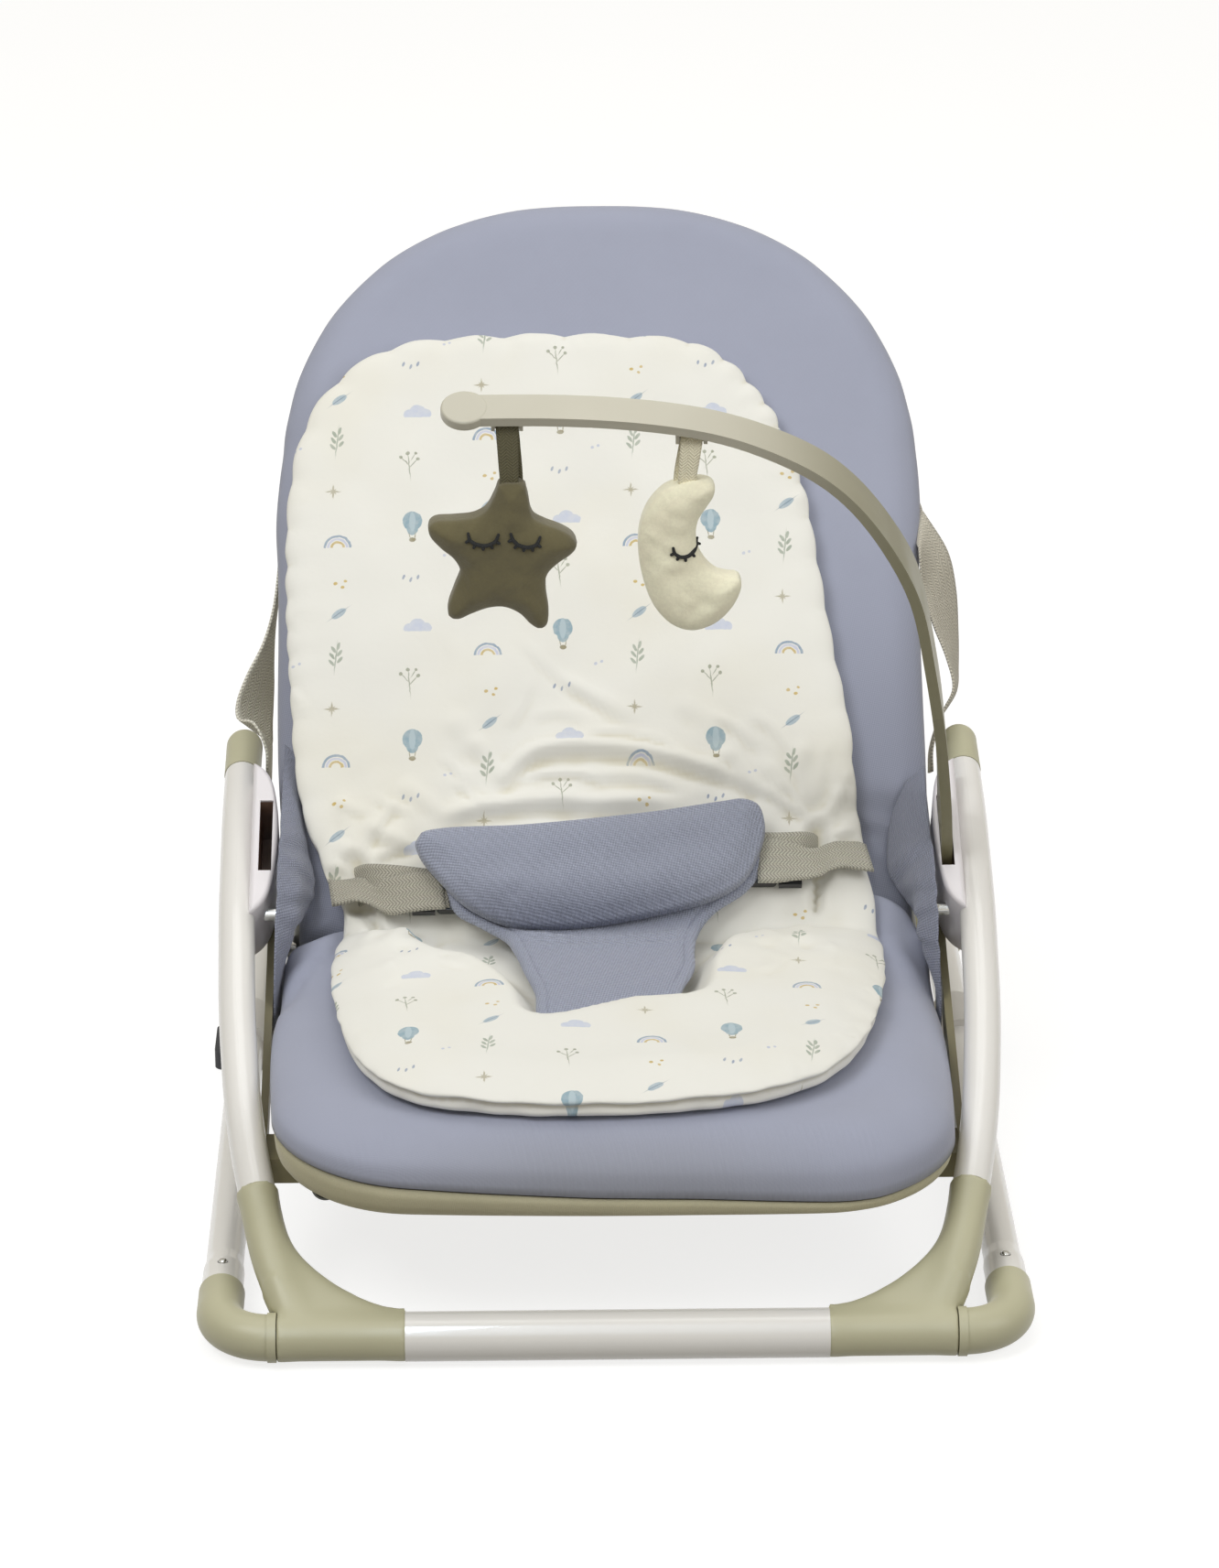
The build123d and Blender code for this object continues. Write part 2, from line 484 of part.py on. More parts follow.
# ---------------------------------------------------------------- toy arm
ARM_O = (318.0, 190.0)
ARM_PLANE = Plane(origin=(0, ARM_O[0], ARM_O[1]), x_dir=(1, 0, 0), z_dir=(0, -hy, -hz))   # x = X, y = a, z = -h
arm_c = [(209, -15), (207, 28), (203, 70), (196, 125), (188, 172), (178, 218), (160, 259), (142, 288), (120, 312), (93, 330), (67, 342), (15, 354), (-37, 358), (-83, 358)]
arm_t = [6.6, 6.6, 6.6, 6.6, 6.4, 6.4, 6.2, 6.0, 6.0, 6.0, 6.0, 6.0, 6.0, 6.0]
def side_pts(sg):
    out = []
    for i, (x, y) in enumerate(arm_c):
        a = arm_c[max(i - 1, 0)]
        b = arm_c[min(i + 1, len(arm_c) - 1)]
        dx, dy = b[0] - a[0], b[1] - a[1]
        l = hypot(dx, dy)
        out.append((x - sg * dy / l * arm_t[i] / 2, y + sg * dx / l * arm_t[i] / 2))
    return out
o1, o2 = side_pts(1), side_pts(-1)
s1, s2 = Spline(*o1), Spline(*o2)
arm_face = make_face([s1, Line(s1 @ 1, s2 @ 1), s2, Line(s2 @ 0, s1 @ 0)])
arm = extrude(ARM_PLANE * arm_face, amount=30, both=True)
mask_pts = [(-30, -16, 30), (22, -16, 30), (70, -18, 25), (125, -21, 21.5), (172, -18.5, 18.5), (218, -16, 16), (259, -13.8, 13.8),
            (288, -12.6, 12.6), (312, -11.8, 11.8), (345, -10.2, 10.2), (375, -9.6, 9.6)]     # (height, low h, high h)
mpl = Plane(origin=(-200, ARM_O[0], ARM_O[1]), x_dir=(0, -hz, hy), z_dir=(1, 0, 0))       # x = a, y = -h
mask_face = make_face(Polyline(*([(a, -hi) for a, lo_, hi in mask_pts] + [(a, -lo_) for a, lo_, hi in reversed(mask_pts)]), close=True))
arm = arm & extrude(mpl * mask_face, amount=500)
disc_p = V(-83, ARM_O[0] - 358 * hz, ARM_O[1] + 358 * hy)
a_dir = V(0, -hz, hy)
disc = cyl(tuple(disc_p - a_dir * 3.4), tuple(disc_p + a_dir * 3.4), 13.5)
disc = soft_fillet(disc, disc.edges(), [1.5, 1.0])
arm = arm + disc
put("toy_arm", arm)

def arm_at(x):
    for (x0, h0), (x1, h1) in zip(arm_c, arm_c[1:]):
        if min(x0, x1) <= x <= max(x0, x1):
            H = h0 + (h1 - h0) * (x - x0) / (x1 - x0)
            return V(x, ARM_O[0] - H * hz, ARM_O[1] + H * hy)

def hook(x):
    p = arm_at(x)
    c = p - V(0, 0, 9.0)
    s = cyl((x - 8.2, c.Y, c.Z), (x + 8.2, c.Y, c.Z), 1.5)
    for sg in (1, -1):
        x0, x1 = sorted((x + sg * 6.9, x + sg * 9.0))
        s += box(x0, x1, c.Y - 2.4, c.Y + 2.4, c.Z - 2.4, c.Z + 12)
    keep = extrude(ARM_PLANE * arm_face, amount=30, both=True)
    s -= keep
    s = s - box(x - 20, x + 20, c.Y - 20, c.Y + 20, p.Z + 1.5, p.Z + 40)
    parts_ = sorted(s.solids(), key=lambda q: q.volume)
    return parts_[-1], c

STAR_X, MOON_X = -59.0, 45.5
hk1, hc1 = hook(STAR_X)
hk2, hc2 = hook(MOON_X)
put("toy_hooks", [hk1, hk2])

def toy_strap(x, c, z_end, w=13.0):
    s = box(x - w / 2, x + w / 2, c.Y - 2.2, c.Y + 2.2, z_end, c.Z)
    s += cyl((x - w / 2, c.Y, c.Z), (x + w / 2, c.Y, c.Z), 3.2)
    s -= cyl((x - w, c.Y, c.Z), (x + w, c.Y, c.Z), 1.58)
    return s
STAR_C = (-61.0, hc1.Y, 426.5)
star_pts = []
for k in range(10):
    r = 46.0 if k % 2 == 0 else 27.0
    t = radians(80 + 36 * k)
    star_pts.append((STAR_C[0] + r * cos(t), STAR_C[2] + r * sin(t)))
star_f = make_face(Polyline(*star_pts, close=True))
star_f = fillet(star_f.vertices(), 5)
ps = Plane(origin=(0, STAR_C[1], 0), x_dir=(1, 0, 0), z_dir=(0, -1, 0))
star = extrude(ps * star_f, amount=15, both=True)
put("star_toy", star)
zt = max(v.Z for v in star.vertices())
put("star_strap", toy_strap(STAR_X, hc1, 471.4))

moon_pts = [(53, 472), (62, 468.5), (63.5, 461), (57, 452), (53.5, 440), (54.5, 427), (60, 418), (67, 413.5), (73, 409), (72, 400), (63, 390), (50, 383.5),
            (36, 386), (24, 396), (16, 411), (14.5, 428), (18, 446), (27, 460), (38, 469)]
mps = Plane(origin=(0, hc2.Y, 0), x_dir=(1, 0, 0), z_dir=(0, -1, 0))
moon_sp = Spline(*moon_pts, periodic=True)
moon = extrude(mps * make_face(moon_sp), amount=14, both=True)
put("moon_toy", moon)
put("moon_strap", toy_strap(MOON_X, hc2, 472.3))
print("hook centres", hc1, hc2)
print("cap end", C1 + D1 * (34 + TUBE_R + .4))
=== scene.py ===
import json, math
import bpy, bmesh
import numpy as np
from mathutils import Vector, Matrix


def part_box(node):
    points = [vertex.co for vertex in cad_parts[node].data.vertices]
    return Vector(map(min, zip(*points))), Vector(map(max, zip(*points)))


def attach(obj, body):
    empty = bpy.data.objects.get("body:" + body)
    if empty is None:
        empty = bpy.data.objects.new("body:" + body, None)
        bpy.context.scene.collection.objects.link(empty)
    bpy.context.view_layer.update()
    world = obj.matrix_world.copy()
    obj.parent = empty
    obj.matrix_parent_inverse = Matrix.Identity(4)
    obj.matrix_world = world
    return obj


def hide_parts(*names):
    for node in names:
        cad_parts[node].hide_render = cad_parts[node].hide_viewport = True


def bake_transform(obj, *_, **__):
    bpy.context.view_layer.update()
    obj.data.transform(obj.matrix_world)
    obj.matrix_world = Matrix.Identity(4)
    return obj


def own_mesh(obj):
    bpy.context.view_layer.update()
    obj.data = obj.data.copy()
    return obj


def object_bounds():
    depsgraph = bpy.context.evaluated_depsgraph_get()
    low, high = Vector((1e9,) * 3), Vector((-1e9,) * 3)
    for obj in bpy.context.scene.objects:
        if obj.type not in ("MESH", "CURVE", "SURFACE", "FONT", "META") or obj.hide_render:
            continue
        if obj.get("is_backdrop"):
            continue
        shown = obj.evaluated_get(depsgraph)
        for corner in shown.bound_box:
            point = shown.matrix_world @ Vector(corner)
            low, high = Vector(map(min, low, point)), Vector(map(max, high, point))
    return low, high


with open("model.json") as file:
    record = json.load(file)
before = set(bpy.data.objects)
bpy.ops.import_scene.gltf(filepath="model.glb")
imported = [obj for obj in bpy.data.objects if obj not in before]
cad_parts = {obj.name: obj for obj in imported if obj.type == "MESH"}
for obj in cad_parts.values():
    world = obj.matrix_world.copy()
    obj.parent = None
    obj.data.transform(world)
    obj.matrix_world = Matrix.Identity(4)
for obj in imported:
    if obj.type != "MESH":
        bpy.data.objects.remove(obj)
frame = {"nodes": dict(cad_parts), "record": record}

nodes = frame["nodes"]


def plain(b):
    return [[float(c) for c in p] for p in b] if hasattr(b[0], "__len__") else [float(c) for c in b]


CAD_BOX = plain(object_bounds())
_l, _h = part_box("front_bar")
BAR_Y = (_l.y + _h.y) / 2          # the front bar's axis is where the drawing's y = 0

C25, S25 = math.cos(math.radians(25)), math.sin(math.radians(25))
B45 = math.sqrt(0.5)


def scene(p):
    """Drawing millimetres to scene metres."""
    q = np.asarray(p, float) * 0.001
    q = q.copy()
    q[..., 1] += BAR_Y
    return q


def on_back(x, L, n):
    x, L, n = np.broadcast_arrays(np.asarray(x, float), np.asarray(L, float), np.asarray(n, float))
    return np.stack([x, 285 + L * B45 - n * B45, 133 + L * B45 + n * B45], -1)


def on_hub(x, h, a):
    x, h, a = np.broadcast_arrays(np.asarray(x, float), np.asarray(h, float), np.asarray(a, float))
    return np.stack([x, 330 + h * C25 - a * S25, 174 + h * S25 + a * C25], -1)


# ------------------------------------------------------------------ camera
cam_data = bpy.data.cameras.new("camera")
cam = bpy.data.objects.new("camera", cam_data)
bpy.context.scene.collection.objects.link(cam)
cam_data.sensor_width = 36
cam_data.lens = 120.74
cam_data.clip_end = 60
cam.location = scene([-60, -2662.7, 1431.4])
look = Vector((0.0193, 0.927, -0.375)).normalized()
side = look.cross(Vector((0, 0, 1))).normalized()
up = side.cross(look)
cam.matrix_world = Matrix((
    (side.x, up.x, -look.x, cam.location.x),
    (side.y, up.y, -look.y, cam.location.y),
    (side.z, up.z, -look.z, cam.location.z),
    (0, 0, 0, 1)))
bpy.context.scene.camera = cam

# ------------------------------------------------------------------ light and floor
sc = bpy.context.scene
sc.view_settings.view_transform = "Standard"
sc.view_settings.look = "None"
sc.view_settings.exposure = 0.0
world = bpy.data.worlds.new("studio")
sc.world = world
world.use_nodes = True
bg = world.node_tree.nodes["Background"]
_w = world.node_tree.nodes
_l = world.node_tree.links
_dir = _w.new("ShaderNodeTexCoord")
_sep = _w.new("ShaderNodeSeparateXYZ")
_l.new(_dir.outputs["Generated"], _sep.inputs[0])
_up = _w.new("ShaderNodeMapRange")
_up.interpolation_type = "SMOOTHSTEP"
for _i, _v in enumerate((None, -0.45, 0.35, 0.21, 0.37)):
    if _v is not None:
        _up.inputs[_i].default_value = _v
_l.new(_sep.outputs[2], _up.inputs[0])
_ray = _w.new("ShaderNodeLightPath")
_pick = _w.new("ShaderNodeMix")
_l.new(_ray.outputs["Is Glossy Ray"], _pick.inputs[0])
_l.new(_up.outputs[0], _pick.inputs[2])
_pick.inputs[3].default_value = 0.80
_seen = _w.new("ShaderNodeMix")
_l.new(_ray.outputs["Is Camera Ray"], _seen.inputs[0])
_l.new(_pick.outputs[0], _seen.inputs[2])
_seen.inputs[3].default_value = 1.0
_l.new(_seen.outputs[0], bg.inputs[1])
_tint = _w.new("ShaderNodeMix")
_tint.data_type = "RGBA"
_l.new(_ray.outputs["Is Camera Ray"], _tint.inputs[0])
_tint.inputs[6].default_value = (1.0, 0.945, 0.82, 1)      # warm in the shade, cool where the lamps reach
_tint.inputs[7].default_value = (0.96, 0.96, 0.955, 1)
_l.new(_tint.outputs[2], bg.inputs[0])


def area(name, at, to, size, power, colour=(1, 1, 1)):
    d = bpy.data.lights.new(name, "AREA")
    d.shape = "RECTANGLE"
    d.size, d.size_y = size
    d.energy = power
    d.color = colour
    o = bpy.data.objects.new(name, d)
    sc.collection.objects.link(o)
    o.location = at
    o.rotation_euler = (Vector(to) - Vector(at)).to_track_quat("-Z", "Y").to_euler()
    return o


area("key", (-1.5, -1.5, 2.85), (0, 0, 0.2), (1.5, 1.5), 42, (0.965, 0.985, 1.0))
area("fill", (2.0, -1.5, 1.9), (0, 0, 0.2), (1.4, 1.8), 22.5, (0.965, 0.98, 1))
area("top", (0.0, 0.5, 2.95), (0, 0, 0.2), (2.2, 1.8), 23.5, (0.975, 0.988, 1.0))
strip = area("strip", (-0.25, -2.3, 2.5), (0, 0, 0.3), (0.17, 2.6), 42, (0.72, 0.85, 1.0))   # the thin line along the tubes
strip.visible_diffuse = False
area("low_front", (-0.1, -1.75, 0.22), (0, 0.05, 0.12), (1.9, 0.30), 1.1, (1.0, 0.985, 0.955))


# ------------------------------------------------------------------ material building
class Mat:
    """A material with its shader; helpers make nodes from plain calls."""

    def __init__(self, name):
        self.m = bpy.data.materials.new(name)
        self.m.use_nodes = True
        self.t = self.m.node_tree
        self.t.nodes.clear()
        out = self.t.nodes.new("ShaderNodeOutputMaterial")
        self.p = self.t.nodes.new("ShaderNodeBsdfPrincipled")
        self.t.links.new(self.p.outputs[0], out.inputs[0])
        self._obj = None

    def put(self, socket, value):
        if isinstance(value, bpy.types.NodeSocket):
            self.t.links.new(value, socket)
        elif value is not None:
            socket.default_value = value

    def math(self, op, *a, clamp=False):
        n = self.t.nodes.new("ShaderNodeMath")
        n.operation = op
        n.use_clamp = clamp
        for i, v in enumerate(a):
            self.put(n.inputs[i], v)
        return n.outputs[0]

    def add(self, *a):
        r = a[0]
        for b in a[1:]:
            r = self.math("ADD", r, b)
        return r

    def mul(self, *a):
        r = a[0]
        for b in a[1:]:
            r = self.math("MULTIPLY", r, b)
        return r

    def ramp(self, x, lo, hi, a=0.0, b=1.0, smooth=True):
        n = self.t.nodes.new("ShaderNodeMapRange")
        n.interpolation_type = "SMOOTHSTEP" if smooth else "LINEAR"
        for i, v in enumerate((x, lo, hi, a, b)):
            self.put(n.inputs[i], v)
        return n.outputs[0]

    def obj(self):
        if self._obj is None:
            self._obj = self.t.nodes.new("ShaderNodeTexCoord").outputs["Object"]
        return self._obj

    def scaled(self, v, s, rot=(0, 0, 0)):
        n = self.t.nodes.new("ShaderNodeMapping")
        self.put(n.inputs[0], v)
        n.inputs["Scale"].default_value = s if hasattr(s, "__len__") else (s, s, s)
        n.inputs["Rotation"].default_value = rot
        return n.outputs[0]

    def noise(self, scale, detail=3, rough=0.5, at=None, distort=0.0):
        n = self.t.nodes.new("ShaderNodeTexNoise")
        self.put(n.inputs["Vector"], at if at is not None else self.obj())
        n.inputs["Scale"].default_value = scale
        n.inputs["Detail"].default_value = detail
        n.inputs["Roughness"].default_value = rough
        n.inputs["Distortion"].default_value = distort
        return n.outputs["Fac"]

    def voronoi(self, scale, at=None, feature="F1"):
        n = self.t.nodes.new("ShaderNodeTexVoronoi")
        n.feature = feature
        self.put(n.inputs["Vector"], at if at is not None else self.obj())
        n.inputs["Scale"].default_value = scale
        return n.outputs["Distance"]

    def xyz(self, v):
        n = self.t.nodes.new("ShaderNodeSeparateXYZ")
        self.put(n.inputs[0], v)
        return n.outputs[0], n.outputs[1], n.outputs[2]

    def attr(self, name):
        n = self.t.nodes.new("ShaderNodeAttribute")
        n.attribute_name = name
        return n.outputs["Vector"], n.outputs["Fac"]

    def mix(self, f, a, b, mode="MIX"):
        n = self.t.nodes.new("ShaderNodeMix")
        n.data_type = "RGBA"
        n.blend_type = mode
        self.put(n.inputs[0], f)
        for s, v in ((n.inputs[6], a), (n.inputs[7], b)):
            self.put(s, (*v, 1) if isinstance(v, tuple) and len(v) == 3 else v)
        return n.outputs[2]

    def bump(self, height, strength=0.3, dist=0.0005, normal=None):
        n = self.t.nodes.new("ShaderNodeBump")
        n.inputs["Strength"].default_value = strength
        n.inputs["Distance"].default_value = dist
        self.put(n.inputs["Height"], height)
        if normal is not None:
            self.put(n.inputs["Normal"], normal)
        return n.outputs[0]

    def done(self, colour=None, rough=None, normal=None, **fixed):
        self.put(self.p.inputs["Base Color"], (*colour, 1) if isinstance(colour, tuple) and len(colour) == 3 else colour)
        self.put(self.p.inputs["Roughness"], rough)
        if normal is not None:
            self.put(self.p.inputs["Normal"], normal)
        for k, v in fixed.items():
            self.p.inputs[k.replace("_", " ")].default_value = v
        return self.m


def rgb(r, g, b):
    """sRGB 0-255 to linear."""
    return tuple(c / 12.92 if c <= 0.04045 else ((c + 0.055) / 1.055) ** 2.4 for c in (r / 255, g / 255, b / 255))


def plastic(name, colour, rough=0.34, grain=0.04, worn=None, **kw):
    m = Mat(name)
    big = m.noise(9, 3)
    small = m.noise(900, 2)
    dark = tuple(c * 0.93 for c in colour)
    c = m.mix(m.ramp(big, 0.3, 0.7), dark, colour)
    if worn:
        c = m.mix(m.ramp(m.noise(55, 5, 0.65), 0.62, 0.78), c, worn)
    r = m.ramp(m.noise(30, 4), 0.25, 0.75, rough - 0.05, rough + 0.07)
    return m.done(c, r, m.bump(small, grain, 0.0004), **kw)


def hub_plastic(name, colour, inside):
    """White housing whose open slot is painted dark brown inside: painted shade in the slot."""
    m = Mat(name)
    x, y, z = m.xyz(m.obj())
    yd = m.add(y, -BAR_Y - 0.330)
    zd = m.add(z, -0.174)
    h = m.add(m.mul(yd, C25), m.mul(zd, S25))
    a = m.add(m.mul(yd, -S25), m.mul(zd, C25))
    across = m.math("ABSOLUTE", m.add(m.math("ABSOLUTE", x), -0.209))
    slot = m.mul(m.math("LESS_THAN", across, 0.0042), m.math("LESS_THAN", m.math("ABSOLUTE", h), 0.0293), m.math("LESS_THAN", a, 0.0186),
                 m.math("GREATER_THAN", a, -0.0175))
    c = m.mix(m.ramp(m.noise(9, 3), 0.3, 0.7), tuple(q * 0.95 for q in colour), colour)
    # painted shade: the housing's faces inside the slot take the dark brown
    c = m.mix(slot, c, m.mix(m.ramp(m.noise(70, 3), 0.3, 0.7), tuple(q * 0.7 for q in inside), inside))
    return m.done(c, m.ramp(m.noise(30, 4), 0.25, 0.75, 0.28, 0.40), m.bump(m.noise(900, 2), 0.04, 0.0004))


def arm_plastic(name, colour, low):
    """The arm darkens towards the foot it stands on: painted shade where it turns down away from the light above."""
    m = Mat(name)
    x, _y, z = m.xyz(m.obj())
    c = m.mix(m.ramp(m.noise(9, 3), 0.3, 0.7), tuple(q * 0.94 for q in colour), colour)
    # painted shade towards the arm's lower outer part
    c = m.mix(m.mul(m.ramp(x, 0.06, 0.185), 0.8), c, low)
    return m.done(c, m.ramp(m.noise(30, 4), 0.25, 0.75, 0.35, 0.47), m.bump(m.noise(900, 2), 0.04, 0.0004))


def foot_rubber(name, colour, clip):
    """Rubber with a white clip on the inner side of the rear feet."""
    m = Mat(name)
    x, y, z = m.xyz(m.obj())
    inner = m.mul(m.ramp(m.math("ABSOLUTE", x), 0.2352, 0.2346, smooth=False), m.math("GREATER_THAN", z, 0.006), m.math("GREATER_THAN", y, -BAR_Y * 0.0 + 0.03))
    c = m.mix(m.ramp(m.noise(40, 4), 0.3, 0.7), tuple(q * 0.85 for q in colour), colour)
    c = m.mix(inner, c, clip)
    return m.done(c, m.ramp(m.noise(30, 4), 0.25, 0.75, 0.6, 0.75), m.bump(m.noise(900, 2), 0.2, 0.0004))


def metal_paint(name, colour, rough=0.2):
    m = Mat(name)
    c = m.mix(m.ramp(m.noise(12, 3), 0.3, 0.7), tuple(x * 0.985 for x in colour), colour)
    r = m.ramp(m.noise(45, 4), 0.3, 0.7, rough, rough + 0.02)
    return m.done(c, r, m.bump(m.noise(900, 2), 0.006, 0.0002), Coat_Weight=0.55, Coat_Roughness=0.07)


def cloth(name, colour, pitch=0.0011, strength=0.35, dirt=0.06, rough=0.85, sheen=0.25, second=None, tone=0.10):
    m = Mat(name)
    x, y, z = m.xyz(m.obj())
    k = 2 * math.pi / pitch
    a = m.math("SINE", m.mul(m.add(x, m.mul(z, 0.5)), k))
    b = m.math("SINE", m.mul(m.add(m.mul(y, 0.8), m.mul(z, 0.8)), k))
    weave = m.mul(a, b)
    fine = m.noise(1500, 2)
    h = m.add(m.mul(weave, 0.35), fine)
    light = tuple(min(1, c * (1 + tone)) for c in colour)
    dark = tuple(c * (1 - tone) for c in colour)
    c = m.mix(m.ramp(m.noise(7, 4, 0.6), 0.28, 0.72), dark, light)
    c = m.mix(m.ramp(fine, 0.35, 0.65, 0.0, 1.0), c, second or tuple(x * 0.86 for x in colour))
    c2 = m.mix(0.5, c, m.mix(m.ramp(m.noise(7, 4, 0.6), 0.28, 0.72), dark, light))
    if dirt:
        c2 = m.mix(m.mul(m.ramp(m.noise(16, 5, 0.7), 0.55, 0.85), dirt * 4), c2, tuple(x * 0.8 for x in colour))
    return m.done(c2, m.ramp(fine, 0.3, 0.7, rough - 0.06, rough + 0.08), m.bump(h, strength, 0.0004),
                  Sheen_Weight=sheen, Sheen_Roughness=0.5)


def vmath(m, op, a, b=None, c=None):
    n = m.t.nodes.new("ShaderNodeVectorMath")
    n.operation = op
    for i, v in enumerate((a, b, c)):
        if v is not None:
            m.put(n.inputs[i], v)
    return n.outputs["Value"] if op in ("LENGTH", "DISTANCE", "DOT_PRODUCT") else n.outputs["Vector"]


def oval(m, p, cx, cy, rx, ry, deg=0):
    """Signed distance, roughly, to an oval of a motif; sizes in millimetres."""
    n = m.t.nodes.new("ShaderNodeMapping")
    n.vector_type = "TEXTURE"
    m.put(n.inputs["Vector"], p)
    n.inputs["Location"].default_value = (cx * 0.001, cy * 0.001, 0)
    n.inputs["Rotation"].default_value = (0, 0, math.radians(deg))
    n.inputs["Scale"].default_value = (rx * 0.001, ry * 0.001, 1)
    return m.math("MULTIPLY_ADD", vmath(m, "LENGTH", n.outputs[0]), min(rx, ry), -min(rx, ry))


def ring(m, p, cx, cy, r, w):
    d = vmath(m, "DISTANCE", p, (cx * 0.001, cy * 0.001, 0))
    return m.math("SUBTRACT", m.math("ABSOLUTE", m.math("MULTIPLY_ADD", d, 1000.0, -r)), w / 2)


def union(m, *d):
    r = d[0]
    for q in d[1:]:
        r = m.math("MINIMUM", r, q)
    return r


def fill(m, d, soft_edge=0.22):
    return m.ramp(d, soft_edge, -soft_edge, 0.0, 1.0)


def nursery_print(m, base):
    """A plain nursery print of small clouds, leaves, balloons, arcs and dots."""
    flat, _ = m.attr("flat")
    x, y, _z = m.xyz(flat)
    W_, H_ = 0.094, 0.150
    col = m.math("FLOOR", m.math("MULTIPLY_ADD", x, 1 / W_, 0.5))
    y2 = m.add(y, m.mul(m.math("PINGPONG", col, 1.0), H_ * 0.5))
    wob = m.mul(m.math("SUBTRACT", m.noise(330, 2, at=flat), 0.5), 0.0011)       # a hand-painted edge
    cmb = m.t.nodes.new("ShaderNodeCombineXYZ")
    m.put(cmb.inputs[0], m.add(x, wob))
    m.put(cmb.inputs[1], m.add(y2, wob))
    P = cmb.outputs[0]

    def at(cx, cy):
        q = vmath(m, "SUBTRACT", P, (cx * 0.001, cy * 0.001, 0))
        return vmath(m, "WRAP", q, (W_ / 2, H_ / 2, 1), (-W_ / 2, -H_ / 2, -1))

    wash = m.ramp(m.noise(240, 3, 0.6, at=flat), 0.25, 0.75, 0.72, 1.0)
    c = base

    def paint(c, d, colour, strength=1.0):
        return m.mix(m.mul(fill(m, d), wash, strength), c, rgb(*colour))

    # balloon
    p = at(-25, 54)
    bag = union(m, oval(m, p, 0, 3.4, 6.2, 6.6), oval(m, p, 0, -1.6, 3.6, 4.6))
    c = paint(c, bag, (140, 167, 181))
    c = paint(c, oval(m, p, 0, 3.0, 2.0, 6.9), (186, 202, 208), 0.85)
    c = paint(c, union(m, oval(m, p, 0, -9.6, 2.1, 1.5), oval(m, p, -1.7, -6.9, 0.28, 2.2, 8), oval(m, p, 1.7, -6.9, 0.28, 2.2, -8)), (150, 142, 112))
    # leafy sprig
    p = at(21, 38)
    leaves = [oval(m, p, 0.4, 0, 0.42, 9.4, -6)]
    for sx, sy, a in ((-2.4, -3.6, 38), (2.9, -1.6, -38), (-2.0, 1.0, 34), (2.7, 3.0, -34), (-1.2, 5.4, 28), (1.9, 7.6, -14)):
        leaves.append(oval(m, p, sx, sy, 1.0, 2.6, a))
    c = paint(c, union(m, *leaves), (152, 162, 146), 0.9)
    # three drops
    p = at(-26, 17)
    c = paint(c, union(m, oval(m, p, -4.6, 1.2, 0.75, 1.7, -18), oval(m, p, 0, -0.6, 0.75, 1.7, -18), oval(m, p, 4.6, 1.4, 0.75, 1.7, -18)), (132, 146, 174), 0.9)
    # sparkle
    p = at(19, 3)
    c = paint(c, union(m, oval(m, p, 0, 0, 0.62, 4.4), oval(m, p, 0, 0, 4.4, 0.62), oval(m, p, 0, 0, 0.5, 2.3, 45), oval(m, p, 0, 0, 0.5, 2.3, -45)), (168, 160, 132), 0.9)
    # cloud
    p = at(-22, -17)
    _, cy_, _ = m.xyz(p)
    puff = union(m, oval(m, p, -4.8, -0.4, 3.7, 3.5), oval(m, p, 0.2, 1.7, 4.9, 4.7), oval(m, p, 5.2, 0, 3.9, 3.6))
    c = paint(c, m.math("MAXIMUM", puff, m.math("MULTIPLY_ADD", cy_, -1000.0, -2.4)), (196, 203, 222), 0.9)
    # arcs
    p = at(22, -33)
    _, cy_, _ = m.xyz(p)
    for r_, col_ in ((8.0, (126, 150, 176)), (5.9, (196, 200, 222)), (3.8, (198, 172, 96))):
        c = paint(c, m.math("MAXIMUM", ring(m, p, 0, -3.4, r_, 1.5), m.math("MULTIPLY_ADD", cy_, -1000.0, -3.4)), col_, 0.9)
    # berry branch
    p = at(-27, -53)
    tw = [oval(m, p, 0, -1.2, 0.36, 8.2, 5), oval(m, p, -2.4, 1.8, 0.32, 4.0, 42), oval(m, p, 2.6, 0.2, 0.32, 4.2, -40), oval(m, p, 2.6, 5.0, 0.28, 2.6, -30)]
    c = paint(c, union(m, *tw), (146, 150, 128), 0.9)
    c = paint(c, union(m, oval(m, p, -5.2, 4.8, 1.15, 1.15), oval(m, p, 5.6, 3.6, 1.15, 1.15), oval(m, p, -0.8, 7.6, 1.2, 1.2), oval(m, p, 4.2, 7.6, 1.0, 1.0)), (146, 150, 128), 0.9)
    # dots
    p = at(24, -62)
    c = paint(c, union(m, oval(m, p, -3.2, 0.8, 1.25, 1.05), oval(m, p, 1.4, -1.6, 1.15, 1.0), oval(m, p, 3.0, 2.4, 1.05, 0.9)), (200, 172, 88), 0.95)
    # small leaf
    p = at(23, 68)
    c = paint(c, oval(m, p, 0, 0, 2.4, 5.4, -52), (150, 172, 188), 0.85)
    c = paint(c, oval(m, p, 0, 0, 0.3, 6.8, -52), (120, 136, 152), 0.9)
    # little pale dot group
    p = at(-3, 33)
    c = paint(c, union(m, oval(m, p, -1.8, 0, 1.0, 1.0), oval(m, p, 1.9, 1.2, 0.9, 0.9)), (190, 196, 216), 0.9)
    return c


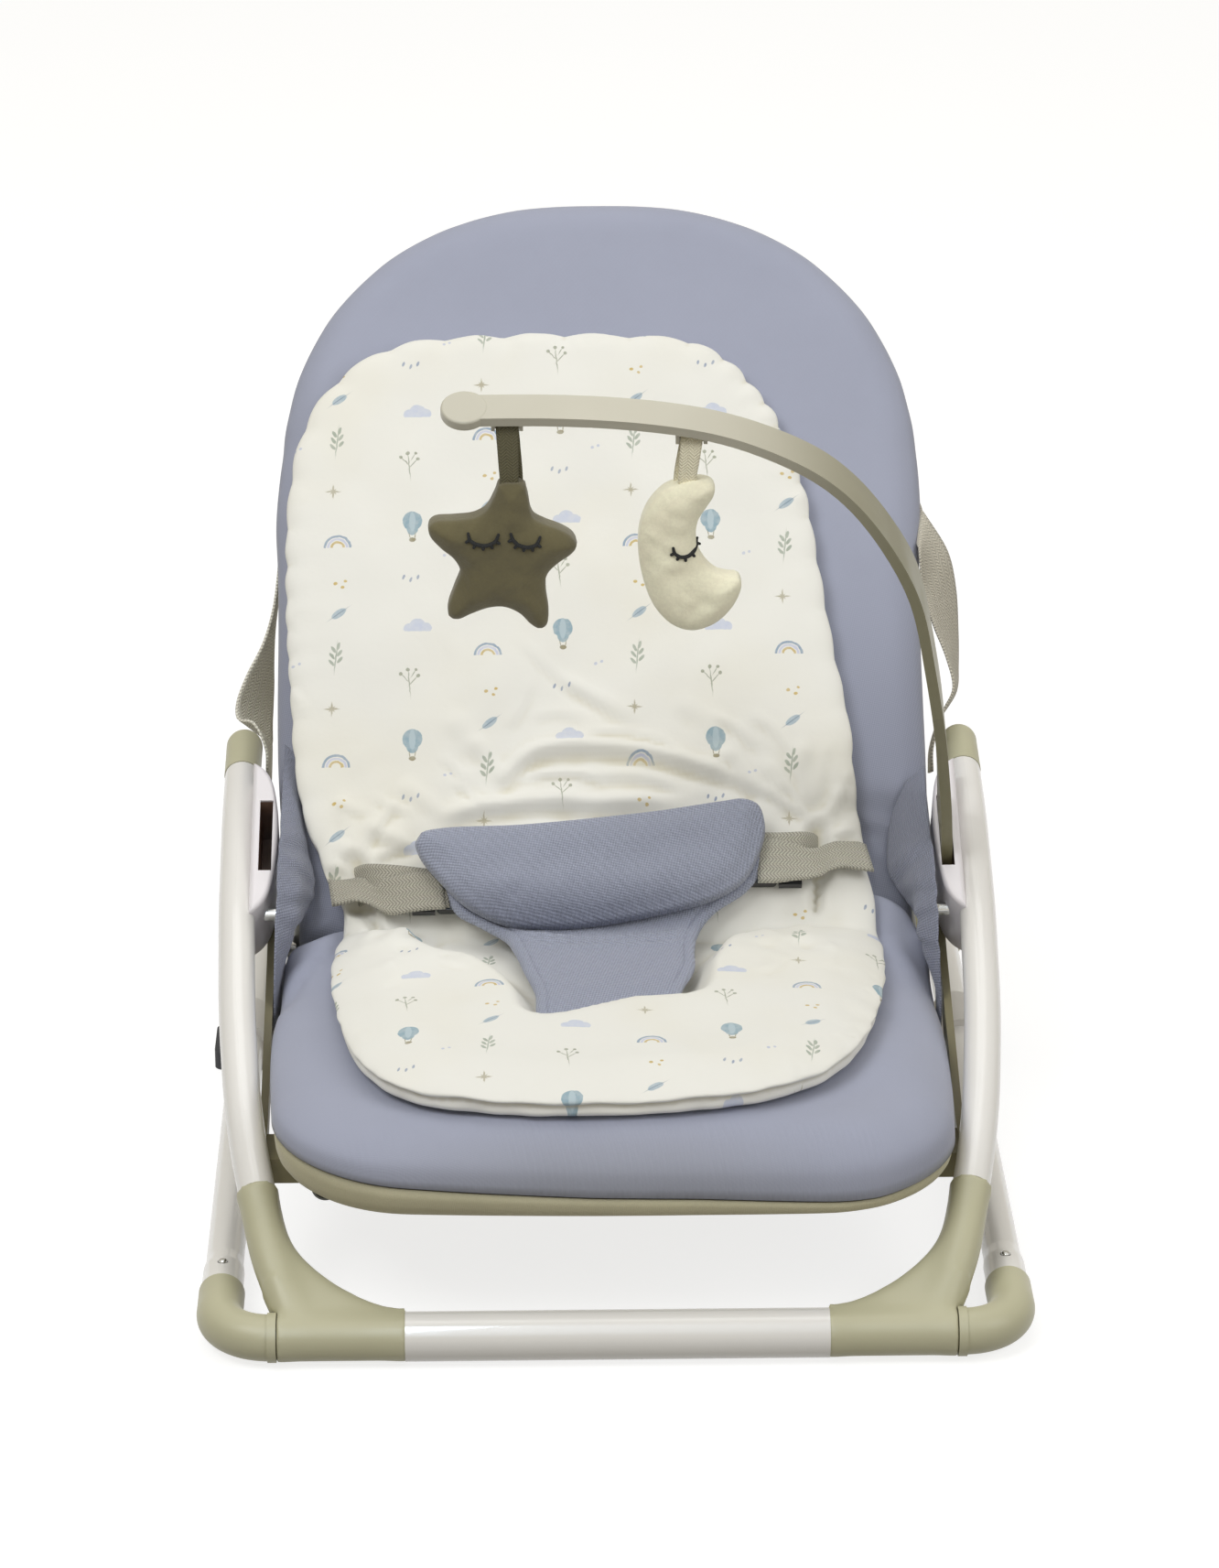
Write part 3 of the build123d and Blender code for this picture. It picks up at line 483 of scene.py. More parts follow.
def plain_cotton(name, colour, printed=False):
    m = Mat(name)
    flat, _ = m.attr("flat")
    at = flat if printed else m.obj()
    fine = m.noise(1900, 2, at=at)
    c = m.mix(m.ramp(m.noise(9, 3, at=at), 0.3, 0.7), tuple(x * 0.985 for x in colour), colour)
    if printed:
        # broad random warm patches: painted soft shade on the padded cloth
        c = m.mix(m.ramp(m.noise(6.5, 3, 0.55, at=at), 0.42, 0.72, 0.0, 0.55), c, tuple(q * f for q, f in zip(colour, (0.955, 0.93, 0.85))))
        c = nursery_print(m, c)
        # painted shade: the cloth darkens and warms in its creases
        _v, crease = m.attr("crease")
        c = m.mix(m.ramp(crease, 0.04, 0.85, 0.0, 0.72), c, tuple(q * f for q, f in zip(colour, (0.74, 0.69, 0.53))))
    crumple = m.noise(160, 4, 0.6, at=at)
    h = m.add(m.mul(fine, 0.25), m.mul(crumple, 1.2))
    return m.done(c, m.ramp(fine, 0.3, 0.7, 0.74, 0.86), m.bump(h, 0.16, 0.0008), Sheen_Weight=0.08, Sheen_Roughness=0.5)


def webbing(name, colour, pitch=0.0021, contrast=0.16):
    """Herringbone tape with bound edges, from the strap's own length and width."""
    m = Mat(name)
    flat, _ = m.attr("flat")
    x, y, _z = m.xyz(flat)
    zig = m.math("PINGPONG", m.add(x, 0.5), 0.0032)
    warp = m.math("SINE", m.mul(m.add(y, m.mul(zig, 0.9)), 2 * math.pi / pitch))
    cross = m.math("SINE", m.mul(x, 2 * math.pi / 0.0012))
    rib = m.add(m.mul(warp, 0.75), m.mul(cross, 0.25))
    tone = m.ramp(rib, -0.9, 0.9)
    c = m.mix(tone, tuple(q * (1 - contrast * 1.9) for q in colour), tuple(min(1, q * (1 + contrast)) for q in colour))
    c = m.mix(m.ramp(m.noise(60, 3, at=flat), 0.3, 0.7, 0.0, 0.35), c, tuple(q * 0.84 for q in colour))
    return m.done(c, 0.72, m.bump(rib, 0.55, 0.0005), Sheen_Weight=0.2, Sheen_Roughness=0.4)


def knit(name, colour, pitch=0.0023, depth=0.4, ripple=False, key="flat", tone=0.1, low=None, low_at=(0.31, 0.09)):
    """Warp-knit mesh: rows of small slanted cells."""
    m = Mat(name)
    flat, _ = m.attr(key)
    x, y, z = m.xyz(flat)
    k = 2 * math.pi / pitch
    a = m.math("SINE", m.mul(m.add(x, m.mul(y, 0.62)), k))
    b = m.math("SINE", m.mul(m.add(m.mul(x, -0.62), y), k))
    cell = m.mul(a, b)
    yarn = m.math("SINE", m.mul(x, 2 * k))
    fine = m.noise(1600, 2, at=flat)
    h = m.add(m.mul(cell, 0.8), m.mul(yarn, 0.2), m.mul(fine, 0.5))
    light = tuple(min(1, c * (1 + tone * 0.6)) for c in colour)
    dark = tuple(c * (1 - tone) for c in colour)
    c = m.mix(m.ramp(cell, -0.8, 0.8), dark, light)
    c = m.mix(m.ramp(m.noise(11, 4, 0.6, at=flat), 0.25, 0.75, 0.0, 0.5), c, tuple(q * 0.92 for q in colour))
    if low:                                            # a more open knit low in the piece, darker there: near the hubs on the backrest partly a darker fabric and partly painted shade, on the belly pad painted shade towards its lower edge
        ka = m.math("SINE", m.mul(m.add(x, m.mul(y, 0.62)), k * 0.6))
        kb = m.math("SINE", m.mul(m.add(m.mul(x, -0.62), y), k * 0.6))
        net = m.mul(ka, kb)
        c = m.mix(m.ramp(y, low_at[0], low_at[1]), c, m.mix(m.ramp(net, -0.8, 0.8), tuple(q * 0.84 for q in low), tuple(q * 1.06 for q in low)))
    # painted shade: the knit darkens in its creases
    _v, crease = m.attr("crease")
    c = m.mix(m.ramp(crease, 0.05, 0.9, 0.0, 0.75), c, tuple(q * f for q, f in zip(colour, (0.52, 0.52, 0.55))))
    if ripple:
        # painted shade on the seat's front face, darker at its centre where it turns down
        painted_nose_shade = m.mul(m.ramp(y, -0.235, -0.275), m.ramp(m.math("ABSOLUTE", x), 0.17, 0.03), 0.75)
        c = m.mix(painted_nose_shade, c, tuple(q * f for q, f in zip(colour, (0.80, 0.79, 0.73))))
        warp = m.noise(14, 3, at=flat)
        fold = m.math("SINE", m.mul(m.add(x, m.mul(warp, 0.012), m.mul(y, 0.25)), 2 * math.pi / 0.0042))
        patch = m.mul(m.ramp(x, -0.10, -0.03), m.ramp(x, 0.17, 0.10), m.ramp(y, -0.33, -0.29), m.ramp(m.noise(16, 2, at=flat), 0.30, 0.62))
        zone = m.mul(m.add(patch, m.mul(m.ramp(m.noise(5.5, 2, at=flat), 0.46, 0.64), 0.5)), m.ramp(y, -0.235, -0.25))
        h = m.add(m.mul(h, 0.5), m.mul(fold, zone, 4.2))
    return m.done(c, m.ramp(fine, 0.3, 0.7, 0.78, 0.92), m.bump(h, depth, 0.0005), Sheen_Weight=0.22, Sheen_Roughness=0.45)


def plush(name, colour, deep=0.86):
    m = Mat(name)
    nap = m.noise(520, 4, 0.7)
    brush = m.noise(34, 3, 0.6, distort=0.8)
    c = m.mix(m.ramp(brush, 0.3, 0.7), tuple(q * deep for q in colour), tuple(min(1, q * 1.06) for q in colour))
    c = m.mix(m.ramp(nap, 0.35, 0.65, 0.0, 0.35), c, tuple(q * 0.82 for q in colour))
    return m.done(c, 0.92, m.bump(m.add(nap, m.mul(brush, 0.6)), 0.35, 0.0008), Sheen_Weight=0.35, Sheen_Roughness=0.55)


M = {}
M["sage"] = plastic("sage_plastic", rgb(188, 185, 156), 0.42, 0.05)
M["white"] = metal_paint("white_tube", rgb(231, 229, 226), 0.30)
M["hub"] = hub_plastic("hub_white", rgb(231, 227, 231), rgb(132, 106, 92))
M["arm"] = arm_plastic("arm_plastic", rgb(194, 190, 174), rgb(112, 107, 68))
M["rubber"] = foot_rubber("dark_rubber", rgb(62, 63, 68), rgb(214, 211, 206))
M["grey"] = plastic("frame_grey", rgb(120, 122, 120), 0.42, 0.05)
# a darker copy of the sage plastic for the seat side arms: painted shade
M["olive"] = plastic("side_arm_sage_shaded", rgb(126, 119, 88), 0.5, 0.06)
M["black"] = plastic("black_plastic", rgb(34, 35, 38), 0.42, 0.12)
M["blue"] = knit("blue_fabric", rgb(160, 164, 183), 0.0013, 0.16, ripple=True, tone=0.05)
# darker, more open knit low near the hubs: partly a darker fabric, partly painted shade
M["back"] = knit("blue_back_fabric", rgb(160, 164, 183), 0.0013, 0.16, ripple=True, tone=0.05, low=rgb(142, 146, 164))
M["knit"] = knit("blue_knit", rgb(157, 162, 181), 0.0027, 0.75, tone=0.24)
# darker towards the pad's lower edge: painted shade
M["belly"] = knit("blue_knit_belly", rgb(157, 162, 181), 0.0027, 0.75, tone=0.24, low=rgb(116, 121, 140), low_at=(0.034, -0.006))
M["sagecloth"] = cloth("sage_fabric", rgb(188, 182, 152))
M["mesh"] = knit("blue_side_mesh", rgb(136, 140, 158), 0.0024, 0.75, tone=0.2)
M["cream"] = plain_cotton("cream_print_fabric", rgb(235, 234, 228), printed=True)
# the webbing is set lighter for the right straps (painted light) and the left straps take a darker copy (painted shade)
M["web"] = webbing("webbing", rgb(184, 181, 167), contrast=0.24)
M["web_left"] = webbing("webbing_left", rgb(170, 166, 152), contrast=0.24)
# the carry webbing is set lighter than the waist webbing and the left one lighter still: painted light on straps that
# face away from the lamps
M["carry"] = webbing("carry_webbing", rgb(206, 200, 184), contrast=0.2)
M["carry_left_lit"] = webbing("carry_webbing_left", rgb(240, 234, 220), contrast=0.2)
M["star"] = plush("star_plush", rgb(101, 93, 59))
M["moon"] = plush("moon_plush", rgb(252, 246, 219), 0.95)
M["thread"] = cloth("black_thread", rgb(17, 17, 16), sheen=0.0, dirt=0, strength=0.6)
M["starweb"] = webbing("star_loop", rgb(92, 86, 56), 0.0018, 0.12)
M["moonweb"] = webbing("moon_loop", rgb(240, 233, 206), 0.0018, 0.05)
steel = Mat("bright_steel")
M["steel"] = steel.done(steel.mix(steel.noise(40, 3), rgb(170, 170, 168), rgb(205, 205, 203)),
                        steel.ramp(steel.noise(80, 3), 0.3, 0.7, 0.2, 0.34), steel.bump(steel.noise(700, 2), 0.06, 0.0003), Metallic=1.0)

SLOT_MAT = {
    "sage_plastic": "sage", "white_tube": "white", "dark_rubber": "rubber", "bright_steel": "steel",
    "hub_white": "hub", "frame_grey": "grey", "blue_fabric": "blue", "blue_knit": "knit", "sage_fabric": "sagecloth",
    "cream_print_fabric": "cream", "webbing": "web", "black_plastic": "black", "arm_plastic": "arm",
    "star_plush": "star", "moon_plush": "moon"}

slot_of = {p_["node"]: p_["material_slot"] for p_ in frame["record"].get("subparts", [])}

for n_, o_ in nodes.items():
    mat = M[SLOT_MAT.get(slot_of.get(n_, ""), "grey")]
    if n_.startswith("seat_side_arm"):
        # the side arms take the shaded copy of the sage plastic (painted shade)
        mat = M["olive"]
    o_.data.materials.clear()
    o_.data.materials.append(mat)
    o_.data.polygons.foreach_set("use_smooth", [True] * len(o_.data.polygons))
    o_.data.set_sharp_from_angle(angle=math.radians(32))

# ------------------------------------------------------------------ mesh tools
from mathutils.geometry import delaunay_2d_cdt


def unit(v):
    return v / np.maximum(np.linalg.norm(v, axis=-1, keepdims=True), 1e-12)


def resample(P, step, closed):
    Q = np.vstack([P, P[:1]]) if closed else P
    s = np.r_[0, np.cumsum(np.linalg.norm(np.diff(Q, axis=0), axis=1))]
    n = max(3, int(round(s[-1] / step)))
    t = np.linspace(0, s[-1], n + 1)
    if closed:
        t = t[:-1]
    return np.stack([np.interp(t, s, Q[:, k]) for k in range(Q.shape[1])], -1)


def spline(P, step, closed=True):
    """A smooth line through points, evenly divided."""
    P = np.asarray(P, float)
    n = len(P)
    u = np.linspace(0, 1, 20, endpoint=False)[:, None]
    out = []
    for i in range(n if closed else n - 1):
        p1, p2 = P[i], P[(i + 1) % n]
        p0 = P[(i - 1) % n] if closed or i > 0 else 2 * p1 - p2
        p3 = P[(i + 2) % n] if closed or i + 2 < n else 2 * p2 - p1
        t1 = max(np.linalg.norm(p1 - p0), 1e-6) ** 0.5
        t2 = t1 + max(np.linalg.norm(p2 - p1), 1e-6) ** 0.5
        t3 = t2 + max(np.linalg.norm(p3 - p2), 1e-6) ** 0.5
        t = t1 + (t2 - t1) * u
        A1 = (t1 - t) / t1 * p0 + t / t1 * p1
        A2 = (t2 - t) / (t2 - t1) * p1 + (t - t1) / (t2 - t1) * p2
        A3 = (t3 - t) / (t3 - t2) * p2 + (t - t2) / (t3 - t2) * p3
        B1 = (t2 - t) / t2 * A1 + t / t2 * A2
        B2 = (t3 - t) / (t3 - t1) * A2 + (t - t1) / (t3 - t1) * A3
        out.append((t2 - t) / (t2 - t1) * B1 + (t - t1) / (t2 - t1) * B2)
    out = np.vstack(out + ([] if closed else [P[-1:]]))
    return resample(out, step, closed)


def to_outline(P, poly):
    """For each point: its distance to a closed outline, positive inside, and the nearest outline point."""
    a = poly
    ab = np.roll(poly, -1, 0) - a
    l2 = (ab ** 2).sum(1)
    dist, near = np.empty(len(P)), np.empty((len(P), 2))
    for k in range(0, len(P), 3000):
        p = P[k:k + 3000, None, :]
        t = np.clip(((p - a) * ab).sum(2) / l2, 0, 1)
        q = a + t[..., None] * ab
        r = np.linalg.norm(p - q, axis=2)
        j = r.argmin(1)
        y = p[..., 1]
        cross = (a[:, 1] > y) != (np.roll(a, -1, 0)[:, 1] > y)
        xi = a[:, 0] + (y - a[:, 1]) * ab[:, 0] / np.where(ab[:, 1] == 0, 1e-12, ab[:, 1])
        inside = (cross & (p[..., 0] < xi)).sum(1) % 2 == 1
        dist[k:k + 3000] = np.where(inside, 1, -1) * r[np.arange(len(j)), j]
        near[k:k + 3000] = q[np.arange(len(j)), j]
    return dist, near


def ccw(P):
    x, y = P[:, 0], P[:, 1]
    return P if (x * np.roll(y, -1) - np.roll(x, -1) * y).sum() > 0 else P[::-1]


def region(outline, spacing, rings):
    """Triangles that fill an outline, with rings of points along its edge."""
    outline = ccw(outline)
    m = len(outline)
    t = unit(np.roll(outline, -1, 0) - np.roll(outline, 1, 0))
    nrm = np.stack([-t[:, 1], t[:, 0]], -1)
    pts = [outline]
    for d in rings:
        q = outline + nrm * d
        r, _ = to_outline(q, outline)
        q = q[r > 0.98 * d]
        keep, last = [], None
        for p in q:                                   # thin points that crowd together
            if last is None or np.hypot(*(p - last)) > 0.45 * spacing:
                keep.append(p)
                last = p
        if keep:
            pts.append(np.array(keep))
    lo, hi = outline.min(0), outline.max(0)
    rows = np.arange(lo[1], hi[1], spacing * 0.866)
    g = np.vstack([np.stack([np.arange(lo[0] + (spacing / 2 if i % 2 else 0), hi[0], spacing),
                             np.full(len(np.arange(lo[0] + (spacing / 2 if i % 2 else 0), hi[0], spacing)), y)], -1)
                   for i, y in enumerate(rows)])
    r, _ = to_outline(g, outline)
    pts.append(g[r > rings[-1] + 0.6 * spacing])
    allp = np.vstack(pts)
    v, _, f, ov, _, _ = delaunay_2d_cdt([Vector(p) for p in allp], [(i, (i + 1) % m) for i in range(m)],
                                        [list(range(m))], 1, 1e-5)
    xy = np.array([tuple(p) for p in v])
    tris = np.array([list(q) for q in f if len(q) == 3])
    a, b, c = (xy[tris[:, k]] for k in range(3))
    area2 = (b - a)[:, 0] * (c - a)[:, 1] - (b - a)[:, 1] * (c - a)[:, 0]
    tris[area2 < 0] = tris[area2 < 0][:, ::-1]
    edge = np.array([any(o < m for o in q) for q in ov])
    d, near = to_outline(xy, outline)
    d = np.where(edge, 0, np.maximum(d, 0.01))
    away = np.where(edge[:, None], 0, unit(near - xy))
    return xy, tris, d, edge, away


def make(name, V, F, mat, body=None, flat=None):
    me = bpy.data.meshes.new(name)
    me.from_pydata(scene(V).tolist(), [], [list(map(int, f)) for f in F])
    bm = bmesh.new()
    bm.from_mesh(me)
    bmesh.ops.recalc_face_normals(bm, faces=bm.faces)
    bm.to_mesh(me)
    bm.free()
    if flat is not None:
        at = me.attributes.new("flat", "FLOAT_VECTOR", "POINT")
        at.data.foreach_set("vector", (np.asarray(flat, np.float32) * 0.001).ravel())
    me.polygons.foreach_set("use_smooth", [True] * len(me.polygons))
    o = bpy.data.objects.new(name, me)
    bpy.context.scene.collection.objects.link(o)
    me.materials.append(mat)
    if body:
        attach(o, body)
    return o


def mark_creases(o, full=85.0):
    """A point attribute, 0 to 1, of how hollow the surface is, for the shade that cloth holds in its creases."""
    me = o.data
    n = len(me.vertices)
    co = np.empty(n * 3)
    me.vertices.foreach_get("co", co)
    co = co.reshape(-1, 3)
    no = np.array([v.normal[:] for v in me.vertices])
    e = np.empty(len(me.edges) * 2, int)
    me.edges.foreach_get("vertices", e)
    e = e.reshape(-1, 2)
    cnt = np.maximum(np.bincount(e.ravel(), minlength=n), 1).astype(float)
    length = np.linalg.norm(co[e[:, 0]] - co[e[:, 1]], axis=1)

    def around(values):
        total = np.zeros_like(values)
        np.add.at(total, e[:, 0], values[e[:, 1]])
        np.add.at(total, e[:, 1], values[e[:, 0]])
        return total / (cnt[:, None] if values.ndim == 2 else cnt)
    size = np.maximum((np.bincount(e[:, 0], length, n) + np.bincount(e[:, 1], length, n)) / cnt, 0.0016)
    bend = np.clip(((around(co) - co) * no).sum(1) / size ** 2 / full, -1, 1)
    bend = 0.5 * bend + 0.5 * around(bend)
    at = me.attributes.new("crease", "FLOAT", "POINT")
    at.data.foreach_set("value", np.clip(bend, 0, 1).astype(np.float32))


def dome(d, R, power=2.0):
    """0 at the edge, 1 from R inwards, with an upright start."""
    return (1 - (1 - np.clip(d / R, 0, 1)) ** power) ** (1 / power)


def soft(x, a, b):
    t = np.clip((x - a) / (b - a), 0, 1)
    return t * t * (3 - 2 * t)


def waves(P, size, seed, n=18):
    """Smooth noise of about -1 to 1, with features of about that size."""
    r = np.random.default_rng(seed)
    P = np.asarray(P, float)
    k = unit(r.normal(size=(n, P.shape[-1]))) * (2 * np.pi / size) * r.uniform(0.6, 1.5, (n, 1))
    return np.cos(P @ k.T + r.uniform(0, 2 * np.pi, n)).sum(-1) / math.sqrt(n) / 1.2


def ridge(P, line, width, ends=0.25):
    """1 along a line, falling away to its sides, and fading at its ends."""
    L = spline(line, 3.0, False) if len(line) > 2 else resample(np.asarray(line, float), 3.0, False)
    a, b = L[:-1], L[1:]
    ab = b - a
    best, where = np.full(len(P), 1e9), np.zeros(len(P))
    for k in range(len(a)):
        t = np.clip(((P - a[k]) @ ab[k]) / (ab[k] @ ab[k]), 0, 1)
        r = np.hypot(*(P - a[k] - t[:, None] * ab[k]).T)
        hit = r < best
        best[hit], where[hit] = r[hit], (k + t[hit]) / len(a)
    w = 1.0 if ends <= 0 else soft(where, 0, ends) * (1 - soft(where, 1 - ends, 1))
    return np.exp(-(best / width) ** 2) * w


def pillow(name, outline, place, top, bottom, mat, body, spacing=4.0, rings=(0.5, 1.4, 2.8, 4.8, 7.4, 10.6), lip=0.0, lip_at=2.5, push=None, unroll=None):
    """A closed padded form on an outline: two sheets that meet at an edge seam."""
    xy, tris, d, edge, away = region(outline, spacing, list(rings))
    if push is None:
        out = lip * np.exp(-((d - lip_at) / lip_at) ** 2) * (1 - np.exp(-(d / (0.4 * lip_at + 1e-6)) ** 2)) if lip else 0 * d
    else:
        out = push(xy[:, 0], xy[:, 1], d)
    q = xy + away * out[:, None]
    r = q if push is None else xy + away * push(xy[:, 0], xy[:, 1], d, True)[:, None]
    up = place(q[:, 0], q[:, 1], top(xy[:, 0], xy[:, 1], d))
    dn = place(r[:, 0], r[:, 1], bottom(xy[:, 0], xy[:, 1], d))
    low = np.where(edge, np.arange(len(xy)), len(xy) + np.cumsum(~edge) - 1)
    V = np.vstack([up, dn[~edge]])
    F = np.vstack([tris, low[tris][:, ::-1]])
    fu = fd = xy
    if unroll is not None:
        _, near = to_outline(xy, outline)
        _t = unit(np.roll(outline, -1, 0) - np.roll(outline, 1, 0))
        j = np.array([np.argmin(np.hypot(*(outline - p).T)) for p in near])
        nrm = np.stack([_t[j, 1], -_t[j, 0]], -1)
        k = unroll(xy[:, 0], xy[:, 1])[:, None]
        fu = xy + nrm * k * (1 - soft(d, 0, 14))[:, None]
        fd = xy + nrm * k * (1 + dome(d, 7))[:, None]
    flat = np.vstack([np.c_[fu, np.ones(len(xy))], np.c_[fd[~edge], np.zeros((~edge).sum())]])
    return make(name, V, F, mat, body, flat)


CUT = {}                                               # each strap: width and length along its own surface, mm


def ribbon(name, A, B, thick, mat, body, across=8, step=3.0, smooth=True, edge=0.0, shape=None):
    """A strap between two edge lines, A and B, with the given thickness."""
    A, B = np.asarray(A, float), np.asarray(B, float)
    if smooth:
        both = spline(np.hstack([A, B]), step * 1.4, False)
    else:
        both = resample(np.hstack([A, B]), step * 1.4, False)
    A, B = both[:, :3], both[:, 3:]
    mid = (A + B) / 2
    along = unit(np.gradient(mid, axis=0))
    nrm = unit(np.cross(along, B - A))
    t = np.linspace(0, 1, across + 1)
    grid = A[:, None, :] * (1 - t)[None, :, None] + B[:, None, :] * t[None, :, None]
    if shape is not None:
        run = np.r_[0, np.cumsum(np.linalg.norm(np.diff(mid, axis=0), axis=1))]
        grid = grid + nrm[:, None, :] * shape(t[None, :] + 0 * run[:, None], run[:, None] + 0 * t[None, :])[:, :, None]
    CUT[name] = (np.linalg.norm(np.diff(grid, axis=1), axis=2).sum(1).mean(), np.linalg.norm(np.diff(grid, axis=0), axis=2).sum(0).mean())
    sag = (edge * np.abs(2 * t - 1) ** 4)[None, :, None]
    half = thick / 2 + sag
    up = grid + nrm[:, None, :] * half
    dn = grid - nrm[:, None, :] * half
    n, m = grid.shape[:2]
    V = np.vstack([up.reshape(-1, 3), dn.reshape(-1, 3)])
    ix = np.arange(n * m).reshape(n, m)
    o = n * m
    F = []
    for i in range(n - 1):
        for j in range(m - 1):
            F.append((ix[i, j], ix[i, j + 1], ix[i + 1, j + 1], ix[i + 1, j]))
            F.append((o + ix[i, j], o + ix[i + 1, j], o + ix[i + 1, j + 1], o + ix[i, j + 1]))
        F.append((ix[i, 0], ix[i + 1, 0], o + ix[i + 1, 0], o + ix[i, 0]))
        F.append((ix[i, -1], o + ix[i, -1], o + ix[i + 1, -1], ix[i + 1, -1]))
    for j in range(m - 1):
        F.append((ix[0, j], o + ix[0, j], o + ix[0, j + 1], ix[0, j + 1]))
        F.append((ix[-1, j], ix[-1, j + 1], o + ix[-1, j + 1], o + ix[-1, j]))
    s = np.r_[0, np.cumsum(np.linalg.norm(np.diff(mid, axis=0), axis=1))]
    wid = np.linalg.norm(B - A, axis=1)
    fl = np.stack([np.broadcast_to((t - 0.5)[None, :] * wid[:, None], (n, m)), np.broadcast_to(s[:, None], (n, m)), np.ones((n, m))], -1).reshape(-1, 3)
    return make(name, V, F, mat, body, np.vstack([fl, fl]))


def tube(name, P, r, mat, body, sides=10, step=1.0, taper=False):
    """A round thread or cord along points."""
    P = spline(np.asarray(P, float), step, False) if len(P) > 2 else resample(np.asarray(P, float), step, False)
    t = unit(np.gradient(P, axis=0))
    ref = np.array([0, 0, 1.0]) if abs(t[0][2]) < 0.9 else np.array([1.0, 0, 0])
    u = unit(np.cross(t[0], ref))
    rings = []
    n = len(P)
    for i in range(n):
        u = unit(u - t[i] * (u @ t[i]))
        w = np.cross(t[i], u)
        rr = r
        if taper:
            rr = r * (0.55 + 0.45 * math.sin(math.pi * min(max((i + 0.5) / n, 0), 1)) ** 0.5)
        a = np.linspace(0, 2 * np.pi, sides, endpoint=False)
        rings.append(P[i] + rr * (np.cos(a)[:, None] * u + np.sin(a)[:, None] * w))
    V = np.vstack(rings + [P[:1] - t[:1] * r * 0.5, P[-1:] + t[-1:] * r * 0.5])
    F = []
    for i in range(n - 1):
        for j in range(sides):
            k = (j + 1) % sides
            F.append((i * sides + j, i * sides + k, (i + 1) * sides + k, (i + 1) * sides + j))
    for j in range(sides):
        k = (j + 1) % sides
        F.append((n * sides, k, j))
        F.append((n * sides + 1, (n - 1) * sides + j, (n - 1) * sides + k))
    return make(name, V, F, mat, body)

# ------------------------------------------------------------------ backrest cushion
HALF_BACK = [(2, 178), (8, 188), (30, 190), (56, 192), (74, 198.5), (96, 201.6), (130, 202.4), (171, 202.3), (230, 202.4), (270, 203.2), (300, 204.5), (331, 204),
             (347, 203), (363, 201.8), (379, 199), (395, 195.5), (411, 190), (427, 183), (443, 174.5), (459, 163), (475, 148.7), (486, 137), (496.7, 122),
             (507.5, 102.5), (513, 89), (518, 74), (523, 52), (525.4, 28)]
back_line = ccw(spline([(w + np.clip((L - 250) / 60, 0, 1) * 1.3, L) for L, w in HALF_BACK] + [(0, 526)] + [(-w - 2.4 * np.clip((L - 100) / 50, 0, 1) * np.clip((345 - L) / 40, 0, 1) + np.clip((L - 400) / 80, 0, 1) * 0.8, L) for L, w in HALF_BACK[::-1]], 4.0))
BACK_FOLDS = [([(152, 88), (174, 76), (202, 66)], 5.0, 2.6), ([(156, 70), (177, 58), (200, 34)], 5.5, 3.0),
              ([(158, 58), (172, 44), (196, 12)], 6.0, 2.4), ([(162, 31), (181, 19), (196, 2)], 5.0, 2.2),
              ([(160, 110), (177, 101), (203, 104)], 8.0, 1.6), ([(-203, 4), (-193, 11), (-168, 19)], 6.0, 2.2),
              ([(-203, 21), (-190, 26), (-170, 34)], 6.0, 1.8), ([(-200, 44), (-188, 46), (-176, 56)], 6.0, 1.2)]


def back_top(x, L, d):
    P = np.stack([x, L], -1)
    h = -31 + 29.6 * dome(d, 27, 2.2)
    h = h + 0.5 * waves(P, 120, 3) * soft(d, 0, 30) - 0.4
    for line, w, a in BACK_FOLDS:
        h = h + a * ridge(P, line, w) * np.where(np.abs(x) > 150, 1, 0.2)
        off = np.array(line, float) + [0, -1.6 * w]
        h = h - 0.6 * a * ridge(P, off, w)
    return h


def back_under(x, L, d):
    return -31 - 13.4 * dome(d, 12)


back = pillow("backrest_cushion_cover", back_line, on_back, back_top, back_under, M["back"], "backrest", 5.0,
              (0.4, 1.2, 2.6, 4.6, 7.2, 10.4, 14.2, 18.5, 23.5, 29), lip=1.2, lip_at=4)
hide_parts("backrest_cushion")

# rear cover: the fabric shell that wraps the frame tubes behind
_hb = [(L, w) for L, w in HALF_BACK[1:] if L < 520]
cover_line = spline([((w - 9), max(L - max(L - 440, 0) * 0.13, 8)) for L, w in _hb] + [(0, 512)] + [(-(w - 9), max(L - max(L - 440, 0) * 0.13, 8)) for L, w in _hb[::-1]], 5.0)


